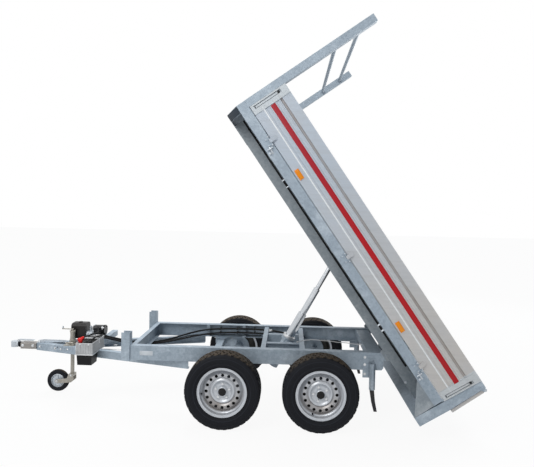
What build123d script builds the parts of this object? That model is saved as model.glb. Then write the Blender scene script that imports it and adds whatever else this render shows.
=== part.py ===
from build123d import *

import os
from math import atan2, cos, degrees, hypot, radians, sin, tan

# Tandem-axle tipper trailer, bed raised. Millimetres, +X to the tail, +Y to the
# trailer's right, +Z up, origin on the ground under the middle of the whole trailer.

# Wheels and axles
axle_x = {"front": 57, "rear": 823}
tyre_radius = 300
tyre_half_width = 92.5
wheel_y = 640.5
stub_radius = 20
rim_hole_circle = 127
rim_hole_radius = 12.5
rim_hole_count = 16
axle_lead = 150
axle_tube = 60
axle_tube_z = 400
arm_inner_y = 470
arm_outer_y = 500
axle_wall = 6
hanger_y = 430
hanger_plate = 5
hub_carrier_radius = 45
drum_radius = 110
drum_inner_y = 594
drum_outer_y = 654

# Main frame
rail_front_x = -755
rail_rear_x = 1350
rail_outer_y = 438
rail_top_z = 568
rail_height = 120
rail_flange = 60
steel = 4
rail_bottom_z = rail_top_z - rail_height
rail_web_y = rail_outer_y - steel

# Bed pivot and tilt
hinge_x = 1370
hinge_z = 560
tip_angle = 55.3
pivot_radius = 12.5
pivot_bore = 12.9

# Bed, measured from the pivot: u towards the tail, w square to the floor
bed_half_width = 795
bed_front_u = -2291
post_size = 60
board_front_u = bed_front_u + post_size + 2
deck_low_w = 86
deck_top_w = 161
floor_sheet = 3
side_rail_width = 40
board_top_w = 482
board_thickness = 25
beam_low_w = -6
beam_inner_y = 456
beam_width = 50
tail_lean = tan(radians(3.5))
sill_low_w = -90
sill_front_u = 398
sill_depth = 76
post_top_w = 1301
board_hinge_y = 806
board_hinge_w = 154
tailgate_pivot_u = 505
tailgate_pivot_w = 468

# Telescopic cylinder
trunnion_x = 550
trunnion_z = 530
trunnion_radius = 18
eye_u = -817.5
eye_w = 65.7
stroke = 250

# Towing end
drawbar_front_x = -1760
drawbar_rear_x = -265
drawbar_rear_y = 430
drawbar_slope = 0.2718
drawbar_width = 50
drawbar_height = 65
drawbar_low_z = rail_bottom_z - drawbar_height
ball_x = -1970
ball_z = 425
ball_radius = 25.1
jockey_x = -1432
jockey_wheel_x = -1563
jockey_radius = 100

pieces = {}


def across(x):
    """Plane square to the trailer's length: local x is Y, local y is Z."""
    return Plane(origin=(x, 0, 0), x_dir=(0, 1, 0), z_dir=(1, 0, 0))


def beside(y):
    """Upright plane along the trailer: local x is X, local y is Z, normal to -Y."""
    return Plane(origin=(0, y, 0), x_dir=(1, 0, 0), z_dir=(0, -1, 0))


along = Vector(cos(radians(tip_angle)), 0, -sin(radians(tip_angle)))
square = Vector(sin(radians(tip_angle)), 0, cos(radians(tip_angle)))
hinge = Vector(hinge_x, 0, hinge_z)


def bed_across(u):
    """Plane square to the bed's length: local x is Y, local y is w."""
    return Plane(origin=hinge + along * u, x_dir=(0, 1, 0), z_dir=along)


def bed_beside(y):
    """Plane along the bed, square to its floor: local x is u, local y is w."""
    return Plane(origin=hinge + Vector(0, y, 0), x_dir=along, z_dir=(0, -1, 0))


def bed_level(w):
    """Plane parallel to the bed's floor: local x is u, local y is Y."""
    return Plane(origin=hinge + square * w, x_dir=along, z_dir=square)


def outline(points):
    """Closed face from straight lines, added to the sketch in hand."""
    Polygon(*points, align=None)


def keep(name, builder):
    """Label a finished piece and file it for export."""
    builder.part.label = name
    pieces[name] = builder.part


def channel(low, high, back, front, wall=steel):
    """Points of a C section whose web is at back and whose flanges end at front."""
    web = back + wall if front > back else back - wall
    return [(back, low), (front, low), (front, low + wall), (web, low + wall),
            (web, high - wall), (front, high - wall), (front, high), (back, high)]


# Main frame

flange_tip_y = rail_outer_y - rail_flange
stiffener_x = [-244, 111]
rail_end = [(1040, rail_bottom_z + steel), (1075, 423), (1335, 423), (rail_rear_x, 440),
            (rail_rear_x, rail_bottom_z + steel)]

with BuildPart() as main_rails:
    with BuildSketch(across(rail_front_x)):
        outline(channel(rail_bottom_z, rail_top_z, -rail_outer_y, rail_flange - rail_outer_y))
    extrude(amount=rail_rear_x - rail_front_x)
    with BuildSketch(across(rail_front_x)):
        with Locations((rail_flange / 2 - rail_outer_y, rail_bottom_z + rail_height / 2)):
            Rectangle(rail_flange, rail_height)
    extrude(amount=steel)
    with BuildSketch(beside(-rail_web_y)):
        outline(rail_end)
    extrude(amount=steel)
    for x in stiffener_x:
        with BuildSketch(Plane.XY.offset(rail_bottom_z + steel)):
            outline([(x, -rail_web_y), (x + steel, -rail_web_y),
                     (x + steel, -flange_tip_y - steel), (x + 30, -flange_tip_y - steel),
                     (x + 30, -flange_tip_y), (x, -flange_tip_y)])
        extrude(amount=rail_height - 2 * steel)
    mirror(about=Plane.XZ)
keep("main_rails", main_rails)

# Columns: web x, flange tip x, low z, high z, half length
crossmember_table = [
    (rail_front_x, rail_front_x + 40, rail_bottom_z, rail_top_z, flange_tip_y),
    (373, 333, 460, 560, rail_web_y),
    (662, 705, 460, 560, rail_web_y),
]
with BuildPart() as crossmembers:
    for web_x, tip_x, low_z, high_z, half in crossmember_table:
        with BuildSketch(beside(half)):
            outline(channel(low_z, high_z, web_x, tip_x))
        extrude(amount=2 * half)
    with BuildSketch(beside(rail_web_y - 10)):
        outline([(1225, 500), (1229, 500), (1229, 556), (1346, 556), (1346, 500),
                 (1350, 500), (1350, 560), (1225, 560)])
    extrude(amount=2 * (rail_web_y - 10))
keep("crossmembers", crossmembers)

cradle_y = 134
with BuildPart() as cylinder_cradle:
    with BuildSketch(across(373)):
        outline(channel(450, 550, -cradle_y + 6, -cradle_y - 40, 6))
    extrude(amount=662 - 373)
    with BuildSketch(beside(-cradle_y + 14)):
        with Locations((trunnion_x, trunnion_z - 12)):
            Rectangle(90, 64)
    extrude(amount=8)
    with BuildSketch(beside(0)):
        with Locations((trunnion_x, trunnion_z)):
            Circle(trunnion_radius + 0.3)
    extrude(amount=200, mode=Mode.SUBTRACT)
    mirror(about=Plane.XZ)
keep("cylinder_cradle", cylinder_cradle)

with BuildPart() as bed_guides:
    with BuildSketch(Plane.XY.offset(443)):
        outline([(-825, -450), (-755, -450), (-755, -380), (-825, -380), (-825, -384),
                 (-759, -384), (-759, -446), (-825, -446)])
    extrude(amount=678 - 443)
    mirror(about=Plane.XZ)
keep("bed_guides", bed_guides)

with BuildPart() as hinge_ears:
    with BuildSketch(beside(-424)):
        outline([(1290, 504), (1384, 504), (1396, 530), (1396, 585), (1353, 585), (1353, 562),
                 (1290, 562)])
    extrude(amount=10)
    with BuildSketch(beside(-424)):
        with Locations((hinge_x, hinge_z)):
            Circle(pivot_radius)
    extrude(amount=38)
    mirror(about=Plane.XZ)
keep("hinge_ears", hinge_ears)

with BuildPart() as prop_brackets:
    with BuildSketch(beside(-rail_outer_y)):
        outline([(1180, 362), (1262, 362), (1262, 545), (1180, 545)])
    extrude(amount=6)
    with BuildSketch(Plane.XY.offset(274)):
        with Locations((1255, -468)):
            Circle(24.5)
    extrude(amount=489 - 274)
    with BuildSketch(Plane.XY.offset(274)):
        with Locations((1255, -468)):
            Circle(19)
    extrude(amount=489 - 274, mode=Mode.SUBTRACT)
    mirror(about=Plane.XZ)
keep("prop_brackets", prop_brackets)

for side, name in ((-1, "left"), (1, "right")):
    with BuildPart() as prop_leg:
        with BuildSketch(Plane.XY.offset(262)):
            with Locations((1255, side * 468)):
                Circle(18)
        extrude(amount=470 - 262)
        with BuildSketch(beside(side * 468 + 9)):
            outline([(1237, 262), (1273, 262), (1281, 180), (1299, 93), (1273, 93),
                     (1252, 170)])
        extrude(amount=18)
    keep(f"{name}_prop_leg", prop_leg)

# Axles and wheels

for name, wheel_x in axle_x.items():
    tube_x = wheel_x - axle_lead
    with BuildPart() as axle:
        with BuildSketch(beside(arm_inner_y)):
            with Locations((tube_x, axle_tube_z)):
                Rectangle(axle_tube, axle_tube)
        extrude(amount=2 * arm_inner_y)
        with BuildSketch(beside(arm_inner_y)):
            with Locations((tube_x, axle_tube_z)):
                Rectangle(axle_tube - 2 * axle_wall, axle_tube - 2 * axle_wall)
        extrude(amount=2 * arm_inner_y, mode=Mode.SUBTRACT)
        with BuildSketch(Plane.XY.offset(axle_tube_z - axle_tube)):
            with Locations((tube_x, 0)):
                Circle(8)
        extrude(amount=axle_tube, mode=Mode.SUBTRACT)
        with BuildSketch(Plane.XY.offset(axle_tube_z + axle_tube / 2)):
            with Locations((tube_x, 408), (tube_x, -408)):
                Rectangle(110, 44)
        extrude(amount=rail_bottom_z - axle_tube_z - axle_tube / 2)
        for side in (-1, 1):
            with BuildSketch(beside(side * hanger_y)):
                outline([(tube_x - 70, rail_bottom_z), (tube_x + 142, rail_bottom_z),
                         (tube_x + 142, 378), (tube_x + 112, 338), (tube_x - 38, 338),
                         (tube_x - 70, 374)])
            extrude(amount=-side * hanger_plate)
            with BuildSketch(beside(side * arm_inner_y)):
                with BuildLine():
                    a = CenterArc((tube_x, axle_tube_z), 42, 75, 150)
                    b = CenterArc((wheel_x, tyre_radius), 36, 225, 180)
                    Line(a @ 1, b @ 0)
                    Line(b @ 1, a @ 0)
                make_face()
            extrude(amount=-side * (arm_outer_y - arm_inner_y))
            with BuildSketch(beside(side * arm_outer_y)):
                with Locations((wheel_x, tyre_radius)):
                    Circle(hub_carrier_radius)
            extrude(amount=-side * (drum_inner_y - arm_outer_y))
            with BuildSketch(beside(side * drum_inner_y)):
                with Locations((wheel_x, tyre_radius)):
                    Circle(drum_radius)
            extrude(amount=-side * (drum_outer_y - drum_inner_y))
            with BuildSketch(beside(side * drum_outer_y)):
                with Locations((wheel_x, tyre_radius)):
                    Circle(stub_radius)
            extrude(amount=-side * 36)
    keep(f"{name}_axle", axle)

# Points across the wheel from its middle outwards, and out from the axle
barrel_outer = [(-82, 195), (-76, 195), (-74, 180), (-40, 178), (-22, 160), (22, 160),
                (40, 178), (74, 180), (76, 195), (82, 195)]
barrel_inner = [(82, 191), (79.5, 191), (77.5, 176), (41, 174), (23, 156), (-23, 156),
                (-41, 174), (-77.5, 176), (-79.5, 191), (-82, 191)]
disc_face = [(22, 160), (32, 150), (48, 138), (51, 127), (48, 114), (38, 101), (47, 90),
             (46, 82), (36, 70), (32, 60), (32, 34)]
disc_thickness = 5


def wheel_plane(x, side):
    """Plane through the axle line: local x outwards, local y up."""
    return Plane(origin=(x, side * wheel_y, tyre_radius), x_dir=(0, side, 0), z_dir=(side, 0, 0))


for end, wheel_x in axle_x.items():
    for side, hand in ((-1, "left"), (1, "right")):
        spin = Axis((wheel_x, 0, tyre_radius), (0, 1, 0))
        with BuildPart() as tyre:
            with BuildSketch(wheel_plane(wheel_x, side)):
                with BuildLine():
                    tread = Line((-62, tyre_radius), (62, tyre_radius))
                    Spline(tread @ 1, (84, 286), (tyre_half_width, 246), (79, 199))
                    Polyline((79, 199), (75, 197), (73, 181.5), (60, 180.5), (64, 200))
                    Spline((64, 200), (80, 244), (72, 276), (56, 288))
                    Line((56, 288), (-56, 288))
                    Spline((-56, 288), (-72, 276), (-80, 244), (-64, 200))
                    Polyline((-64, 200), (-60, 180.5), (-73, 181.5), (-75, 197), (-79, 199))
                    Spline((-79, 199), (-tyre_half_width, 246), (-84, 286), tread @ 0)
                make_face()
            revolve(axis=spin)
        keep(f"{end}_{hand}_tyre", tyre)

        with BuildPart() as rim:
            with BuildSketch(wheel_plane(wheel_x, side)):
                outline(barrel_outer + barrel_inner)
                outline(disc_face + [(x - disc_thickness, r) for x, r in reversed(disc_face)])
                outline([(18, stub_radius + 0.4), (54, stub_radius + 0.4), (54, 0), (60, 0),
                         (60, 30), (54, 36), (18, 36)])
            revolve(axis=spin)
            with Locations(Plane(origin=(wheel_x, side * (wheel_y + 50), tyre_radius),
                                 z_dir=(0, side, 0))):
                with PolarLocations(rim_hole_circle, rim_hole_count):
                    Cylinder(rim_hole_radius, 30, mode=Mode.SUBTRACT)
        keep(f"{end}_{hand}_rim", rim)

# Towing end


def drawbar_edge(x):
    """Distance of the drawbar's outer face from the centre line."""
    return drawbar_rear_y + (x - drawbar_rear_x) * drawbar_slope


inner_shift = drawbar_width * hypot(1, drawbar_slope)
web_shift = steel * hypot(1, drawbar_slope)
mitre_x = drawbar_rear_x + (1 + inner_shift - drawbar_rear_y) / drawbar_slope
drawbar_plan = [(drawbar_front_x, -drawbar_edge(drawbar_front_x)),
                (drawbar_rear_x, -drawbar_rear_y),
                (drawbar_rear_x, inner_shift - drawbar_rear_y),
                (mitre_x, -1),
                (drawbar_front_x, -1)]
web_plan = drawbar_plan[:2] + [(x, y + web_shift) for x, y in reversed(drawbar_plan[:2])]
with BuildPart() as drawbars:
    for low in (drawbar_low_z, rail_bottom_z - steel):
        with BuildSketch(Plane.XY.offset(low)):
            outline(drawbar_plan)
        extrude(amount=steel)
    with BuildSketch(Plane.XY.offset(drawbar_low_z)):
        outline(web_plan)
    extrude(amount=drawbar_height)
    with BuildSketch(beside(-60)):
        with Locations((-1534, 429), (-1433, 422)):
            Circle(7)
    extrude(amount=90, mode=Mode.SUBTRACT)
    mirror(about=Plane.XZ)
keep("drawbars", drawbars)

with BuildPart() as overrun_housing:
    with BuildSketch(across(-1905)):
        with Locations((0, 420)):
            RectangleRounded(70, 56, 8)
    extrude(amount=drawbar_front_x + 1905)
keep("overrun_housing", overrun_housing)

with BuildPart() as coupling_bellows:
    with BuildSketch(beside(0)):
        outline([(-1935, 425), (-1935, 445), (-1930, 450), (-1925, 445), (-1920, 450),
                 (-1915, 445), (-1910, 450), (-1905, 445), (-1905, 425)])
    revolve(axis=Axis((-1920, 0, 425), (1, 0, 0)))
keep("coupling_bellows", coupling_bellows)

with BuildPart() as coupling_head:
    with BuildSketch(Plane.XY.offset(ball_z - 20)):
        with Locations((ball_x - 3, 0)):
            Circle(35)
    extrude(amount=50)
    with BuildSketch(across(-1975)):
        with Locations((0, 434)):
            RectangleRounded(52, 42, 12)
    extrude(amount=1975 - 1935)
    with BuildSketch(Plane.XY.offset(ball_z - 20)):
        with Locations((ball_x, 0)):
            Circle(ball_radius)
    extrude(amount=20, mode=Mode.SUBTRACT)
    with Locations((ball_x, 0, ball_z)):
        Sphere(ball_radius, mode=Mode.SUBTRACT)
keep("coupling_head", coupling_head)

with BuildPart() as coupling_handle:
    with BuildSketch(beside(12)):
        outline([(-1950, 455), (-1930, 455), (-1925, 463), (-1800, 462), (-1790, 468),
                 (-1800, 472), (-1930, 474), (-1950, 468)])
    extrude(amount=24)
keep("coupling_handle", coupling_handle)

with BuildPart() as handbrake_lever:
    with BuildSketch(beside(5)):
        outline([(-1756, 448), (-1700, 448), (-1690, 460), (-1500, 462), (-1490, 468),
                 (-1500, 476), (-1700, 478), (-1750, 470)])
    extrude(amount=10)
keep("handbrake_lever", handbrake_lever)

with BuildPart() as jockey_tube:
    with BuildSketch(Plane.XY.offset(376)):
        with Locations((jockey_x, 0)):
            Circle(22)
            Circle(17.4, mode=Mode.SUBTRACT)
    extrude(amount=554 - 376)
    with BuildSketch(Plane.XY.offset(rail_bottom_z)):
        with Locations((jockey_x, -34)):
            Rectangle(90, 122)
        with Locations((jockey_x, 0)):
            Circle(21.5, mode=Mode.SUBTRACT)
    extrude(amount=6)
    with BuildSketch(Plane.XY.offset(554)):
        with Locations((jockey_x, 0)):
            Circle(26)
    extrude(amount=14)
    with BuildSketch(Plane.XY.offset(568)):
        with Locations((jockey_x, 0)):
            Circle(7)
    extrude(amount=12)
    with BuildSketch(Plane.XY.offset(578)):
        with Locations((jockey_x - 45, 0)):
            SlotOverall(110, 18)
    extrude(amount=6)
keep("jockey_tube", jockey_tube)

with BuildPart() as jockey_inner:
    with BuildSketch(Plane.XY.offset(170.3)):
        with Locations((jockey_x, 0)):
            Circle(17)
    extrude(amount=410 - 170.3)
keep("jockey_inner", jockey_inner)

with BuildPart() as jockey_fork:
    with BuildSketch(Plane.XY.offset(146)):
        with Locations((jockey_x, 0)):
            Rectangle(44, 70)
    extrude(amount=24)
    with BuildSketch(beside(35)):
        outline([(jockey_x - 22, 170), (jockey_x + 22, 170), (jockey_x + 22, 110),
                 (jockey_x, 92), (jockey_wheel_x, 82), (jockey_wheel_x - 18, 90),
                 (jockey_wheel_x - 18, 110), (jockey_wheel_x, 118), (jockey_x - 40, 128)])
    extrude(amount=6)
    with BuildSketch(beside(-29)):
        outline([(jockey_x - 22, 170), (jockey_x + 22, 170), (jockey_x + 22, 110),
                 (jockey_x, 92), (jockey_wheel_x, 82), (jockey_wheel_x - 18, 90),
                 (jockey_wheel_x - 18, 110), (jockey_wheel_x, 118), (jockey_x - 40, 128)])
    extrude(amount=6)
    with BuildSketch(beside(35)):
        with Locations((jockey_wheel_x, jockey_radius)):
            Circle(8)
    extrude(amount=70)
keep("jockey_fork", jockey_fork)

jockey_spin = Axis((jockey_wheel_x, 0, jockey_radius), (0, 1, 0))
jockey_plane = Plane(origin=(jockey_wheel_x, 0, jockey_radius), x_dir=(0, 1, 0), z_dir=(1, 0, 0))
with BuildPart() as jockey_tyre:
    with BuildSketch(jockey_plane):
        with BuildLine():
            Polyline((-18, 62), (18, 62), (23, 68), (23, 86))
            ThreePointArc((23, 86), (17, 96), (0, jockey_radius))
            ThreePointArc((0, jockey_radius), (-17, 96), (-23, 86))
            Polyline((-23, 86), (-23, 68), (-18, 62))
        make_face()
    revolve(axis=jockey_spin)
keep("jockey_tyre", jockey_tyre)

with BuildPart() as jockey_rim:
    with BuildSketch(jockey_plane):
        outline([(-18, 62), (-20, 58), (-6, 50), (-6, 20), (-24, 18), (-24, 8.4), (24, 8.4),
                 (24, 18), (6, 20), (6, 50), (20, 58), (18, 62)])
    revolve(axis=jockey_spin)
keep("jockey_rim", jockey_rim)

# Battery, pump and tank on the drawbar

with BuildPart() as equipment_bracket:
    with BuildSketch(beside(330)):
        outline(channel(rail_bottom_z, 500, -1125, -1175))
    extrude(amount=330 + 71)
    with BuildSketch(Plane.XY.offset(rail_bottom_z)):
        outline([(-1470, 27), (-1175, 27), (-1175, 160), (-1470, 130)])
    extrude(amount=steel)
keep("equipment_bracket", equipment_bracket)

with BuildPart() as battery_box:
    with BuildSketch(Plane.XY.offset(360)):
        outline([(-1240, -345), (-1118, -345), (-1118, -226), (-1240, -193)])
    extrude(amount=rail_bottom_z - 360, taper=-3)
    with BuildSketch(Plane.XY.offset(rail_bottom_z)):
        outline([(-1243, -346), (-1115, -346), (-1115, -82), (-1243, -82)])
    extrude(amount=532 - rail_bottom_z)
keep("battery_box", battery_box)

with BuildPart() as battery_collar:
    with BuildSketch(Plane.XY.offset(rail_bottom_z)):
        with Locations((-1179, -214)):
            Rectangle(138, 274)
            with GridLocations(23, 0, 6, 1):
                Rectangle(6, 280)
            with GridLocations(0, 24, 1, 11):
                Rectangle(144, 6)
            Rectangle(128.6, 264.6, mode=Mode.SUBTRACT)
    extrude(amount=550 - rail_bottom_z)
    with BuildSketch(Plane.XY.offset(rail_bottom_z)):
        with Locations((-1179, -214)):
            Rectangle(150, 286)
            Rectangle(128.6, 264.6, mode=Mode.SUBTRACT)
    extrude(amount=4)
keep("battery_collar", battery_collar)

with BuildPart() as oil_tank:
    with BuildSketch(across(-1465)):
        with Locations((90, 552)):
            RectangleRounded(120, 148, 34)
    extrude(amount=138)
    fillet(oil_tank.faces().sort_by(Axis.X)[0].edges(), 12)
keep("oil_tank", oil_tank)

with BuildPart() as pump_block:
    with BuildSketch(across(-1327)):
        with Locations((90, 508)):
            Rectangle(86, 72)
    extrude(amount=60)
    with BuildSketch(Plane.XY.offset(rail_bottom_z + steel)):
        with Locations((-1297, 90)):
            Rectangle(50, 70)
    extrude(amount=20)
keep("pump_block", pump_block)

with BuildPart() as pump_motor:
    with BuildSketch(across(-1267)):
        with Locations((90, 558)):
            Circle(46)
    extrude(amount=112)
    with BuildSketch(across(-1250)):
        with Locations((38, 588)):
            Circle(22)
    extrude(amount=78)
keep("pump_motor", pump_motor)

# Telescopic cylinder, drawn out; its axis runs from the trunnion to the bed's lug

eye = hinge + along * eye_u + square * eye_w
trunnion = Vector(trunnion_x, 0, trunnion_z)
ram_dir = (eye - trunnion).normalized()
eye_distance = (eye - trunnion).length
ram_plane = Plane(origin=trunnion, x_dir=(0, 1, 0), z_dir=ram_dir)
ram_axis = Axis(trunnion, ram_dir)
retracted = eye_distance - 3 * stroke


def tube_profile(outer, inner, low, high, floor):
    """Half section of a tube closed at its low end, beside the cylinder's axis."""
    return [(0, low), (outer, low), (outer, high), (inner, high), (inner, low + floor),
            (0, low + floor)]


profile_plane = Plane(origin=trunnion, x_dir=(0, 1, 0), z_dir=Vector(0, 1, 0).cross(ram_dir))

with BuildPart() as cylinder_barrel:
    with BuildSketch(profile_plane):
        outline([(0, -258), (47, -258), (47, 2), (60, 8), (60, 24), (50, 30), (41.5, 30),
                 (41.5, -248), (0, -248)])
    revolve(axis=ram_axis)
    with Locations(Plane(origin=trunnion + ram_dir * 22, x_dir=(0, 1, 0), z_dir=ram_dir)):
        with PolarLocations(54.6, 8):
            Cylinder(3.6, 19)
    with BuildSketch(beside(-47)):
        with Locations((trunnion_x, trunnion_z)):
            Circle(trunnion_radius)
    extrude(amount=cradle_y + 2 - 47)
    with BuildSketch(beside(-45)):
        with Locations((trunnion_x, trunnion_z)):
            Circle(32)
    extrude(amount=22)
    mirror(about=Plane.XZ)
keep("cylinder_barrel", cylinder_barrel)

# Columns: outer radius, inner radius, low end and head when drawn out
ram_table = [
    (40, 31.5, 5 - 245 + stroke, 42 + stroke),
    (30, 22.5, 12 - 240 + 2 * stroke, 52 + 2 * stroke),
    (21, 0, 20 - 235 + 3 * stroke, 60 + 3 * stroke),
]
for number, (outer, inner, low, head) in enumerate(ram_table, start=1):
    with BuildPart() as ram:
        with BuildSketch(profile_plane):
            if inner:
                outline(tube_profile(outer, inner, low, head, 5))
            else:
                outline([(0, low), (outer, low), (outer, head), (0, head)])
        revolve(axis=ram_axis)
        if not inner:
            with BuildSketch(beside(22)):
                with Locations((eye.X, eye.Z)):
                    Circle(35)
            extrude(amount=44)
            with BuildSketch(beside(40)):
                with Locations((eye.X, eye.Z)):
                    Circle(25)
            extrude(amount=80, mode=Mode.SUBTRACT)
    keep(f"ram_{number}", ram)

# Tipping bed, drawn in its raised place

bed_length = sill_front_u - bed_front_u - post_size

with BuildPart() as bed_beams:
    with BuildSketch(bed_across(bed_front_u + post_size)):
        outline(channel(beam_low_w, deck_low_w, -beam_inner_y - beam_width, -beam_inner_y))
    extrude(amount=bed_length)
    with BuildSketch(bed_beside(-beam_inner_y + 10)):
        outline([(-70, 60), (-45, -30), (45, -30), (70, 60)])
    extrude(amount=10)
    with BuildSketch(bed_beside(-beam_inner_y + 12)):
        Circle(pivot_bore)
    extrude(amount=24, mode=Mode.SUBTRACT)
    mirror(about=Plane.XZ)
keep("bed_beams", bed_beams)

bearer_stations = [-1880, -1440, -1000, -640, -220, 200]
bearer_half = bed_half_width - side_rail_width
with BuildPart() as bed_bearers:
    for u in bearer_stations:
        with BuildSketch(bed_beside(bearer_half)):
            outline(channel(deck_low_w, deck_top_w - floor_sheet, u, u + 45))
        extrude(amount=2 * bearer_half)
keep("bed_bearers", bed_bearers)

with BuildPart() as front_sill:
    with BuildSketch(bed_across(bed_front_u)):
        outline([(-700, -9), (700, -9), (790, deck_low_w), (790, deck_top_w),
                 (-790, deck_top_w), (-790, deck_low_w)])
    extrude(amount=post_size)
    with BuildSketch(bed_across(bed_front_u + steel)):
        outline([(-690, -5), (690, -5), (775, deck_low_w), (775, deck_top_w - steel),
                 (-775, deck_top_w - steel), (-775, deck_low_w)])
    extrude(amount=post_size, mode=Mode.SUBTRACT)
keep("front_sill", front_sill)

with BuildPart() as bed_floor:
    with BuildSketch(bed_level(deck_top_w - floor_sheet)):
        with Locations(((bed_front_u + post_size + sill_front_u + 1) / 2, 0)):
            Rectangle(bed_length - 1, 2 * bearer_half)
    extrude(amount=floor_sheet)
keep("bed_floor", bed_floor)

hinge_stations = [-1933, -894, 87]
knuckle_radius = 6
with BuildPart() as bed_side_rails:
    with BuildSketch(bed_across(bed_front_u + post_size)):
        outline(channel(deck_low_w, deck_top_w, -bed_half_width, -bearer_half))
    extrude(amount=bed_length)
    with BuildSketch(bed_beside(-bed_half_width)):
        for u in hinge_stations:
            with Locations((u - 24, 132), (u + 24, 132)):
                Rectangle(16, 34)
    extrude(amount=4)
    for u in hinge_stations:
        with BuildSketch(bed_across(u - 32)):
            with Locations((-board_hinge_y, board_hinge_w)):
                Circle(knuckle_radius)
            with Locations((-board_hinge_y + 6, board_hinge_w - 3)):
                Rectangle(8, 6)
        extrude(amount=16)
        with BuildSketch(bed_across(u + 16)):
            with Locations((-board_hinge_y, board_hinge_w)):
                Circle(knuckle_radius)
            with Locations((-board_hinge_y + 6, board_hinge_w - 3)):
                Rectangle(8, 6)
        extrude(amount=16)
    mirror(about=Plane.XZ)
keep("bed_side_rails", bed_side_rails)

with BuildPart() as rear_sill:
    with BuildSketch(bed_beside(790)):
        lean = (deck_top_w - sill_low_w) * tail_lean
        outline([(sill_front_u, sill_low_w), (sill_front_u + sill_depth, sill_low_w),
                 (sill_front_u + sill_depth + lean, deck_top_w),
                 (sill_front_u + lean, deck_top_w)])
    extrude(amount=2 * 790)
    with BuildSketch(bed_beside(786)):
        outline([(sill_front_u + steel, sill_low_w + steel),
                 (sill_front_u + sill_depth + 40, sill_low_w + steel),
                 (sill_front_u + sill_depth + 40 + lean, deck_top_w - steel),
                 (sill_front_u + steel + lean, deck_top_w - steel)])
    extrude(amount=2 * 786, mode=Mode.SUBTRACT)
keep("rear_sill", rear_sill)

with BuildPart() as tail_gussets:
    with BuildSketch(bed_beside(-786)):
        outline([(164, deck_low_w), (sill_front_u, sill_low_w + 2), (sill_front_u, deck_low_w)])
    extrude(amount=4)
    mirror(about=Plane.XZ)
keep("tail_gussets", tail_gussets)

tail_post_low_u = sill_front_u + (deck_top_w - sill_low_w) * tail_lean
with BuildPart() as tail_posts:
    with BuildSketch(bed_beside(-735)):
        outline([(tail_post_low_u, deck_top_w), (489, deck_top_w), (490, board_top_w),
                 (tail_post_low_u + (board_top_w - deck_top_w) * tail_lean, board_top_w)])
    extrude(amount=55)
    with BuildSketch(bed_beside(-787)):
        outline([(470, 440), (470, 477), (510, 477), (515, 468), (510, 455), (490, 440)])
    extrude(amount=6)
    with BuildSketch(bed_beside(-768)):
        with Locations((tailgate_pivot_u, tailgate_pivot_w)):
            Circle(7)
    extrude(amount=22)
    mirror(about=Plane.XZ)
keep("tail_posts", tail_posts)

with BuildPart() as headboard:
    with BuildSketch(bed_across(bed_front_u + post_size - board_thickness)):
        with Locations((0, (deck_top_w + board_top_w) / 2)):
            Rectangle(2 * 735, board_top_w - deck_top_w)
    extrude(amount=board_thickness)
    with BuildSketch(bed_across(bed_front_u + post_size - board_thickness)):
        with Locations((0, 231), (0, 311), (0, 391)):
            Rectangle(2 * 735 - 60, 34)
    extrude(amount=5, mode=Mode.SUBTRACT)
keep("headboard", headboard)

with BuildPart() as rack_posts:
    with BuildSketch(bed_level(deck_top_w)):
        with Locations((bed_front_u + post_size / 2, -765)):
            Rectangle(post_size, post_size)
            Rectangle(post_size - 8, post_size - 8, mode=Mode.SUBTRACT)
    extrude(amount=post_top_w - deck_top_w)
    mirror(about=Plane.XZ)
keep("rack_posts", rack_posts)

with BuildPart() as rack_bars:
    with BuildSketch(bed_beside(735)):
        with Locations((bed_front_u + post_size / 2, 956), (bed_front_u + post_size / 2, 1164)):
            Circle(15)
            Circle(12.5, mode=Mode.SUBTRACT)
    extrude(amount=2 * 735)
keep("rack_bars", rack_bars)

with BuildPart() as ram_lugs:
    with BuildSketch(bed_beside(50)):
        outline([(-1000, deck_low_w), (-1000, 62), (eye_u - 34, 40), (eye_u + 34, 40),
                 (-595, 62), (-595, deck_low_w)])
    extrude(amount=10)
    with BuildSketch(bed_beside(50)):
        with Locations((eye_u, eye_w)):
            Circle(10.5)
    extrude(amount=100)
    with BuildSketch(bed_beside(-40)):
        outline([(-1000, deck_low_w), (-1000, 62), (eye_u - 34, 40), (eye_u + 34, 40),
                 (-595, 62), (-595, deck_low_w)])
    extrude(amount=10)
keep("ram_lugs", ram_lugs)

with BuildPart() as tail_lamps:
    with BuildSketch(bed_beside(-505)):
        sill_face_u = sill_front_u + steel + 1
        outline([(sill_face_u + 35 * tail_lean, -55), (478, -55), (478, 55),
                 (sill_face_u + 145 * tail_lean, 55)])
    extrude(amount=230)
    mirror(about=Plane.XZ)
keep("tail_lamps", tail_lamps)

board_rear_u = tail_post_low_u - 6
board_low_w = 168
board_lean = (board_top_w - board_low_w) * tail_lean
cap_width = 75
cap_proud = 4
slot_low_w = 192
slot_high_w = 428
latch_high_w = 396

# Columns: low w, high w and depth of each swage rolled into a board's outer face
swage_table = [
    (239, 253, -3),
    (262, 292, 4),
    (350, 378, 4),
    (386, 406, 9),
]


def board_profile(side, inner, outer, low, high):
    """Section of a drop side: plain inside, swaged outside, edges closed."""
    points = [(side * inner, low), (side * outer, low)]
    for swage_low, swage_high, depth in swage_table:
        ramp = 4
        points += [(side * outer, swage_low), (side * (outer - depth), swage_low + ramp),
                   (side * (outer - depth), swage_high - ramp), (side * outer, swage_high)]
    return points + [(side * outer, high), (side * inner, high)]


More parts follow.
